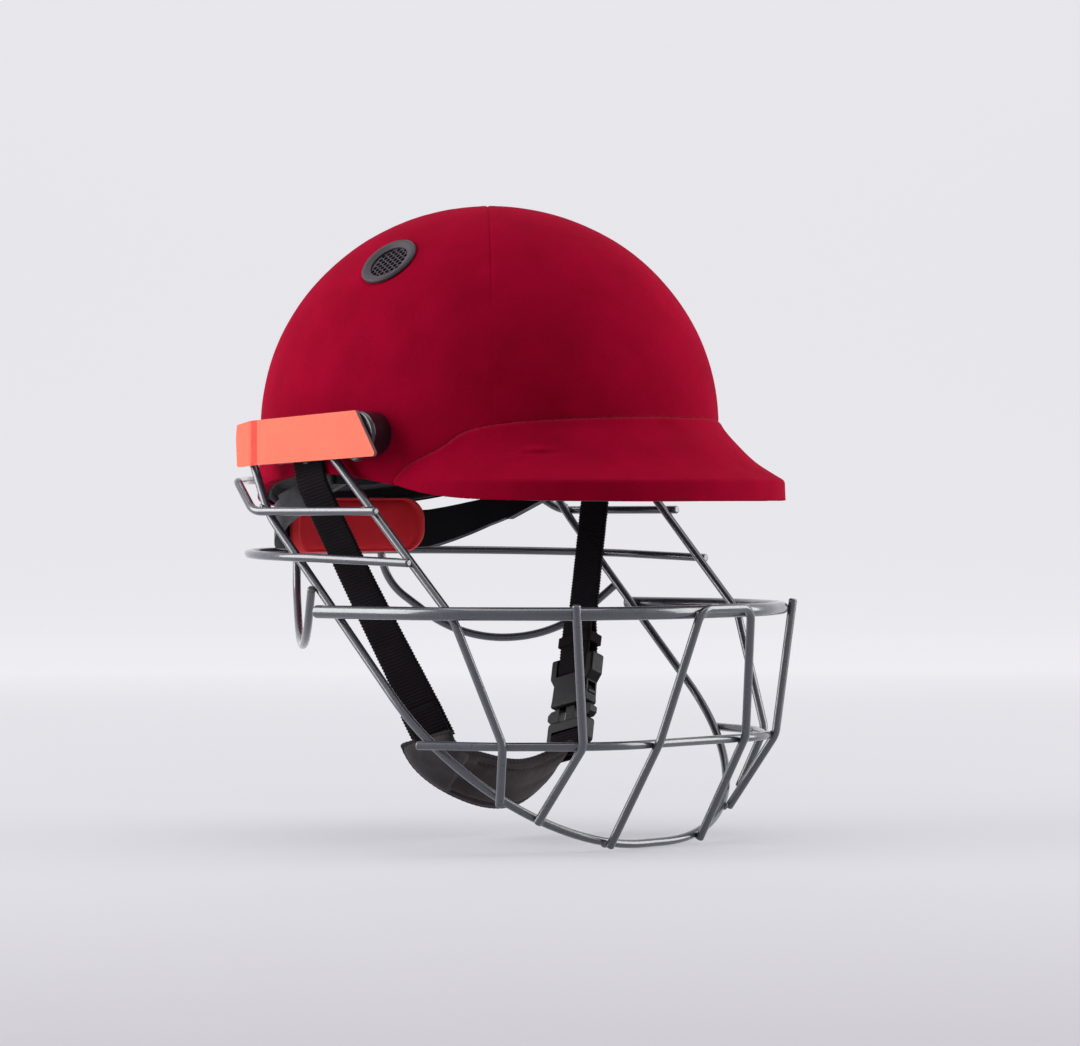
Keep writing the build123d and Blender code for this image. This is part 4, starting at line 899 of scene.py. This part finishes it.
def tape(name, line, length, face, body, width=WEB_WIDTH, twist=None, round_start=0):
    """Ribbed webbing along a line, its face turned to a direction, with soft serrated edges."""
    along = unit(np.gradient(line, axis=0))
    across = unit(np.cross(np.broadcast_to(face, along.shape), along))
    normal = unit(np.cross(along, across))
    if twist is not None:
        c, s = np.cos(twist)[:, None], np.sin(twist)[:, None]
        across, normal = across * c + normal * s, normal * c - across * s
    place = np.linspace(0, length, len(line))
    half = width / 2
    u = np.linspace(-1, 1, 21)
    side = [(x, 1.0) for x in u] + [(1.0, 0.5), (1.0, 0.0), (1.0, -0.5)]
    side += [(x, -1.0) for x in u[::-1]] + [(-1.0, -0.5), (-1.0, 0.0), (-1.0, 0.5), (-1.0, 1.0)]
    side = np.array(side)
    rib = np.sin(2 * pi * place / RIB_PITCH)
    wander = ripple(line, 9.0)
    pinch = np.sqrt(np.clip((np.minimum(place, length - place) + 0.001) / 0.6, 0, 1))
    to_round = np.maximum(round_start - place, 0)
    narrowed = np.sqrt(np.maximum(round_start**2 - to_round**2, 0.01)) - round_start
    breadth = half + narrowed * (to_round > 0) + 0.24 * rib + 0.2 * wander
    soft = (1 - 0.25 * np.abs(side[:, 0]) ** 8) * side[:, 1]
    high = (WEB_WALL / 2 * pinch * (1 + 0.10 * rib))[:, None] * soft
    high = high + (0.10 * rib * pinch)[:, None] * np.sign(side[:, 1]) * (1 - np.abs(side[:, 0]) ** 6)
    wide = breadth[:, None] * side[:, 0]
    points = line[:, None] + across[:, None] * wide[..., None] + normal[:, None] * high[..., None]
    place = np.concatenate([[place[0]], place, [place[-1]]])
    uv = np.stack(np.broadcast_arrays(side[:, 0] * half, place[:, None]), -1)
    piece = skin(name, capped(points), webbing_finish, body, uv=uv, solid=True)
    return piece


def strap_point(out, up):
    """A point near the buckle, out of the strap's face and up along it."""
    return BUCKLE + OUT * out + UP * up


# Right strap: hung from its eyelet, turned a little to the front where it meets the chin cup
right_low = np.array([-57.3, -7.7, -106.8])
right_up = UP * FLIP
right_out = OUT * FLIP
LOW_TWIST = -radians(20)
right_route = [(PIVOT + rear * 10) * FLIP, BEND * FLIP, right_low + right_up * 0.2]
line, length = rounded_route(right_route, [18], 0.45)
share = np.linspace(0, 1, len(line))
bow = np.sin(pi * np.clip((share - 0.1) / 0.9, 0, 1))
line = line + right_out * (1.2 * bow)[:, None]
turned_by = LOW_TWIST * np.clip((share - 0.25) / 0.75, 0, 1) ** 1.5
right_strap = tape(
    "right_strap", line, length, right_out, "chin_strap", twist=turned_by, round_start=END_RADIUS,
)
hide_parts("right_webbing")

# Left strap: down to the buckle, round its bar and back up through the keeper
BAR_TURN = 1.35


def folded_strap(name, route, radii, spacing, body, round_start=0):
    """Webbing along a folded route, its width always across the buckle."""
    line, length = rounded_route(route, radii, spacing)
    face = np.cross(unit(np.gradient(line, axis=0)), np.cross(UP, OUT))
    return tape(name, line, length, face, body, round_start=round_start)


left_route = [
    PIVOT + rear * 10, BEND, strap_point(0, 20), strap_point(3, 6), strap_point(3, -9),
    strap_point(-3, -9), strap_point(-3, 24),
]
left_strap = folded_strap("left_strap", left_route, [15, 25, 25, BAR_TURN, BAR_TURN], 0.45, None, END_RADIUS)
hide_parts("left_webbing")

plug_route = [
    strap_point(-4.9, -61), strap_point(3, -52), strap_point(3, -43.5), strap_point(-3, -43.5),
    strap_point(-3, -51), strap_point(-6.55, -59.55),
]
plug_strap = folded_strap("plug_strap", plug_route, [8, BAR_TURN, BAR_TURN, 8], 0.35, "chin_strap")
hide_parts("plug_webbing")

# Chin cup: a padded strip with piped edges, sewn lines and a patch over its right end
CHIN = np.array([
    (-57.3, -7.7, -106.8), (-54, -8, -124), (-30, -11, -139.5), (-4, -13, -146), (22, -12.5, -143.5),
    (37.9, -14.6, -136.1),
], float)
CHIN_TILTS = [13.6, 15, 40, 50, 54, 46]
CHIN_COUNT = 200
knots = length_along(CHIN)
chin_place = curve_through(knots, CHIN)
along_chin = np.linspace(0, knots[-1], CHIN_COUNT)
chin_line = chin_place(along_chin)
tilts = np.radians(curve_through(knots, CHIN_TILTS)(along_chin))
widthways = np.stack([np.zeros(CHIN_COUNT), -np.cos(tilts), np.sin(tilts)], -1)
tangents = unit(np.gradient(chin_line, axis=0))
tangents = unit(tangents - widthways * (tangents * widthways).sum(-1, keepdims=True))
outwards = np.cross(widthways, tangents)
outwards *= np.sign(-outwards[:, 2:])

# One stitch: share of its run, height over the cloth and thickness
STITCH = ((0, -0.25, 0.4), (0.15, 0.05, 0.9), (0.5, 0.28, 1.0), (0.85, 0.05, 0.9), (1, -0.25, 0.4))
STITCH_PITCH = 3.0
STITCH_START = 0.14
STITCH_RADIUS = 0.32
STITCH_SIDES = 6
SEWN_STEPS = 399


def sewn_row(name, line, lifts):
    """A row of stitches, each a small bowed thread between two holes."""
    shares = np.linspace(0, 1, SEWN_STEPS + 1)
    even, length = resample(line, shares)
    raised, _ = resample(np.concatenate([line, lifts], 1), shares)
    normals = unit(raised[:, 3:])
    count = int(length / STITCH_PITCH)
    turn = np.linspace(0, 2 * pi, STITCH_SIDES + 1)[:-1, None]
    faces = []
    points = []
    for i in range(count):
        a = int((i + STITCH_START) / count * SEWN_STEPS)
        b = int((i + 1 - STITCH_START) / count * SEWN_STEPS)
        aside = unit(np.cross(unit(even[b] - even[a]), normals[a]))
        ring = (aside * np.cos(turn) + normals[a] * np.sin(turn)) * STITCH_RADIUS
        base = len(points)
        for share, high, thick in STITCH:
            points.extend(even[a] + (even[b] - even[a]) * share + normals[a] * high + ring * thick)
        index = base + np.arange(len(STITCH) * STITCH_SIDES).reshape(-1, STITCH_SIDES)
        following = np.roll(index, -1, 1)
        sides = np.stack([index[:-1], following[:-1], following[1:], index[1:]], -1)
        faces.extend(sides.reshape(-1, 4).tolist() + [index[0].tolist(), index[-1].tolist()])
    mesh = bpy.data.meshes.new(name)
    mesh.from_pydata((np.array(points) * MM).tolist(), [], faces)
    return make_piece(name, mesh, thread, "chin_strap")


PIPING_RADIUS = 1.45
PIPING_SIDES = 12
PIPING_PULSE = 0.05
PIPING_WAVE = 3.1


def piped_edge(name, line):
    """A round piping along a line, with rounded ends."""
    along = unit(np.gradient(line, axis=0))
    first = unit(np.cross(along, np.array([0.3, 0.5, 0.8])))
    second = np.cross(along, first)
    turn = np.linspace(0, 2 * pi, PIPING_SIDES + 1)
    place = length_along(line)
    end = np.minimum(place, place[-1] - place)
    size = PIPING_RADIUS * np.sqrt(1 - (1 - np.minimum(end / PIPING_RADIUS, 1)) ** 2)
    size *= 1 + PIPING_PULSE * np.sin(place * 2 * pi / PIPING_WAVE)
    ring = np.cos(turn)[:, None] * first[:, None] + np.sin(turn)[:, None] * second[:, None]
    return skin(name, line[:, None] + size[:, None, None] * ring, piping_finish, "chin_strap", solid=True)


CUP_START = 14.0
cup = along_chin >= CUP_START
line = chin_line[cup]
wide = widthways[cup]
out_of_face = outwards[cup]
along_cup = along_chin[cup] - CUP_START
cup_length = along_cup[-1]
cup_width = np.interp(along_cup, [0, 6, 20, 40, 60, 84, cup_length], [34, 32.6, 31.5, 31, 31, 31, 29])
cup_wall = np.interp(
    along_cup, [0, 4, 14, 40, 70, cup_length - 6, cup_length], [3.2, 5.0, 6.4, 8.2, 8.0, 6.2, 4.2],
)
SEWN_AT = 0.74


def cup_crown(across):
    """Share of the cup's half thickness at a share of its half width."""
    return (1 - np.minimum(np.abs(across), 1) ** 4) ** 0.6 * 0.8 + 0.2


u = np.concatenate([np.linspace(-1, 1, 41), np.linspace(1, -1, 41)])
face_side = np.concatenate([np.ones(41), -np.ones(41)])
sag = ripple(line * np.array([1, 0, 1]), 16.0)
ends = np.sqrt(np.clip((np.minimum(along_cup, cup_length - along_cup) + 0.3) / 3.0, 0, 1))
across = u * cup_width[:, None] / 2
channel = 0.34 * bell(np.abs(across) - SEWN_AT * cup_width[:, None] / 2, 0.9) + 0.10 * bell(across, 2.6)
depth = (cup_wall / 2 * ends)[:, None] * np.clip(cup_crown(u) - channel, 0.1, 1) + 0.18 * sag[:, None]
rows = line[:, None] + wide[:, None] * across[..., None]
rows = rows + out_of_face[:, None] * (face_side * depth)[..., None]
rows = np.concatenate([rows, rows[:, :1]], 1)
chin_cup = skin("chin_cup", capped(rows), cup_cloth, "chin_strap", solid=True)
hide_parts("chin_pad")

upper_edge, lower_edge = [line + wide * (sign * (cup_width / 2 - 0.3))[:, None] for sign in (1, -1)]
rim_path, _ = resample(np.concatenate([lower_edge[::-1], upper_edge]), np.linspace(0, 1, 420))
piping = piped_edge("chin_piping", rim_path)
for sign, name in ((1, "upper"), (-1, "lower")):
    seam_line = line + wide * (sign * SEWN_AT * cup_width / 2)[:, None]
    seam_line += out_of_face * (cup_wall * 0.30)[:, None]
    row = sewn_row(f"chin_stitches_{name}", seam_line[4:-8], out_of_face[4:-8])

# Patch sewn over the right end of the chin cup, on its outer face
PATCH_LENGTH = 31.0
PATCH_LIFT = 0.95
PATCH_SINK = 0.25
PATCH_UNDER = 0.4
patch = along_cup <= PATCH_LENGTH
patch_u = np.linspace(-1.03, 1.03, 41)
reach = along_cup[patch, None]
depth = cup_wall[patch, None] / 2 * np.sqrt(np.clip((reach + 0.5) / 3.0, 0, 1)) * cup_crown(patch_u)
slant = np.clip((PATCH_LENGTH - 4.0 * (patch_u + 1) - reach) / 2.2, 0, 1)
thick = PATCH_LIFT * slant * (1 - 0.6 * np.abs(patch_u) ** 8) - PATCH_SINK
base = line[patch, None] + wide[patch, None] * (patch_u * cup_width[patch, None] / 2)[..., None]
top = base + out_of_face[patch, None] * (depth + thick)[..., None]
bottom = base + out_of_face[patch, None] * (depth - PATCH_UNDER)[..., None]
shell = np.concatenate([top, bottom[:, ::-1], top[:, :1]], 1)
cup_patch = skin("chin_patch", capped(shell), patch_cloth, "chin_strap", solid=True)


def strap_end(name, start, stop, out, shift, twist, width):
    """A straight layer of webbing at the low end of the right strap, along and out of the strap."""
    base = right_low + right_out * out + shift
    ends = np.array([base + right_up * start, base + right_up * stop])
    low_line, low_length = resample(ends, np.linspace(0, 1, int(abs(start - stop) / 0.45)))
    turned = np.full(len(low_line), twist)
    tape(name, low_line, low_length, right_out, "chin_strap", width=width, twist=turned)


# Sewn-in foot, tab folded over the outer face and the cut tail behind it
strap_end("strap_foot", 0.5, -17.0, 0.0, (0, 0, 0), LOW_TWIST, 20.0)
strap_end("strap_tab", 3.0, -17.0, 1.95, (0, 0, 0), LOW_TWIST, 19.4)
strap_end("strap_tail", -1.0, -16.0, -2.0, (-3.4, 4.4, 0), LOW_TWIST / 2, 18.6)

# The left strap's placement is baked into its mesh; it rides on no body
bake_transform(left_strap)

# Weld beads where guard wires cross
BEAD_SIZE = Vector((0.0023, 0.0023, 0.00125))
TOUCHING = 0.0011
BEAD_SPACING = 0.012
BEAD_GROUP = 0.009
BEAD_SIDE = 0.006
CROSSING_ROOM = 0.002
beads = []
placed = []
for first, second in frame["record"]["behaviour"]["press_fits"]:
    near = np.array([v.co for v in nodes[first].data.vertices])
    far = np.array([v.co for v in nodes[second].data.vertices])
    low = np.maximum(near.min(0), far.min(0)) - CROSSING_ROOM
    high = np.minimum(near.max(0), far.max(0)) + CROSSING_ROOM
    near = near[((near > low) & (near < high)).all(1)]
    far = far[((far > low) & (far < high)).all(1)]
    if not len(near) or not len(far):
        continue
    closest = []
    for chunk in np.array_split(near, max(1, len(near) // 400)):
        gaps = ((chunk[:, None] - far[None]) ** 2).sum(-1)
        pick = gaps.argmin(1)
        good = gaps[np.arange(len(chunk)), pick] < TOUCHING**2
        closest.extend((chunk[good] + far[pick[good]]) / 2)
    for spot in closest:
        if all(np.linalg.norm(spot - other) > BEAD_SPACING for other in placed):
            group = np.array([p for p in closest if np.linalg.norm(p - spot) < BEAD_GROUP])
            centre = group.mean(0)
            aside = near[np.linalg.norm(near - centre, axis=1) < BEAD_SIDE].mean(0)
            other = far[np.linalg.norm(far - centre, axis=1) < BEAD_SIDE].mean(0)
            placed.append(spot)
            beads.append((centre, unit(aside - other)))
shape = bmesh.new()
for number, (centre, axis) in enumerate(beads):
    turn = Vector(axis).to_track_quat("Z", "Y").to_matrix().to_4x4()
    made = bmesh.ops.create_icosphere(shape, subdivisions=3, radius=1.0)["verts"]
    for vertex in made:
        lump = 1 + 0.10 * noise.noise(vertex.co * 1.6 + Vector((number * 3.7, 0, 0)))
        vertex.co = vertex.co * BEAD_SIZE * lump
        vertex.co = turn @ vertex.co + Vector(centre)
bead_mesh = bpy.data.meshes.new("weld_beads")
shape.to_mesh(bead_mesh)
shape.free()
bead_piece = make_piece("weld_beads", bead_mesh, paint, "helmet")

# Floor that runs up into a backdrop behind the helmet, glowing with painted light: darker near the camera,
# paler away from it
FLOOR_Z = cad_box[0][2] - 0.0004
away = -Vector((back.x, back.y, 0)).normalized()
sweep = [(reach, 0.0) for reach in (-3.0, -1.5, 0.0, 2.0, 3.2)]
for step in np.linspace(0, pi / 2, 16)[1:]:
    sweep.append((3.2 + 1.2 * sin(step), 1.2 - 1.2 * cos(step)))
sweep.append((4.4, 5.0))
floor_points = []
for distance, height in sweep:
    floor_points.append([
        (Vector((0, 0, FLOOR_Z)) + away * distance + level_right * reach + Vector((0, 0, height))) / MM
        for reach in (-6.0, -2.0, 0.0, 2.0, 6.0)
    ])
pale = Finish("pale_sweep", (0.8, 0.8, 0.82), 0.9, {"Specular IOR Level": 0.1})
place = pale.split("Object")
depth = pale.blend(place[0], away.x, place[1], away.y)
near_tone = pale.mix(pale.remap(depth, -0.85, -0.1), (0.325, 0.31, 0.345), (0.365, 0.36, 0.392))
far_tone = pale.mix(pale.remap(depth, 0.3, 2.2), near_tone, (0.70, 0.692, 0.728))
high_tone = pale.mix(pale.remap(place[2], 0.1, 1.4), far_tone, (0.685, 0.683, 0.715))
# The glow is painted light on floor and backdrop; the small diffuse share set below takes the real shadow.
feed(pale.inputs["Emission Color"], high_tone)
feed(pale.inputs["Emission Strength"], 1.0)
pale.colour((0.29, 0.29, 0.298))
floor = skin("floor", floor_points, pale, None)


def softbox(name, place, size, power):
    """An area light aimed at the middle of the helmet."""
    data = bpy.data.lights.new(name, "AREA")
    data.shape = "RECTANGLE"
    data.size, data.size_y = size
    data.energy = power
    lamp = bpy.data.objects.new(name, data)
    lamp.location = place
    lamp.rotation_mode = "QUATERNION"
    lamp.rotation_quaternion = (Vector((0, 0, -0.01)) - Vector(place)).to_track_quat("-Z", "Y")
    bpy.context.scene.collection.objects.link(lamp)


def from_camera(to_right, towards, height):
    """A place given from the helmet: to the camera's right, towards the camera and up."""
    return level_right * to_right - away * towards + Vector((0, 0, height))


softbox("left_softbox", from_camera(-1.5, 0.15, 0.55), (1.1, 1.5), 31)
softbox("right_softbox", from_camera(1.5, 0.0, 0.5), (1.1, 1.5), 26)
softbox("top_softbox", from_camera(0.0, 0.1, 1.7), (1.6, 1.6), 17)
world = bpy.data.worlds.new("studio")
world.use_nodes = True
tree = world.node_tree
rays = add_node(tree, "LightPath").outputs
seen = add_node(tree, "Math", {0: rays["Is Camera Ray"], 1: rays["Is Glossy Ray"]}, operation="MAXIMUM")
strength = add_node(tree, "MapRange", {"Value": seen.outputs[0], "To Min": 0.05, "To Max": 0.72})
backdrop = tree.nodes["Background"].inputs
feed(backdrop["Color"], (0.95, 0.95, 1.0))
feed(backdrop["Strength"], strength.outputs["Result"])
bpy.context.scene.world = world
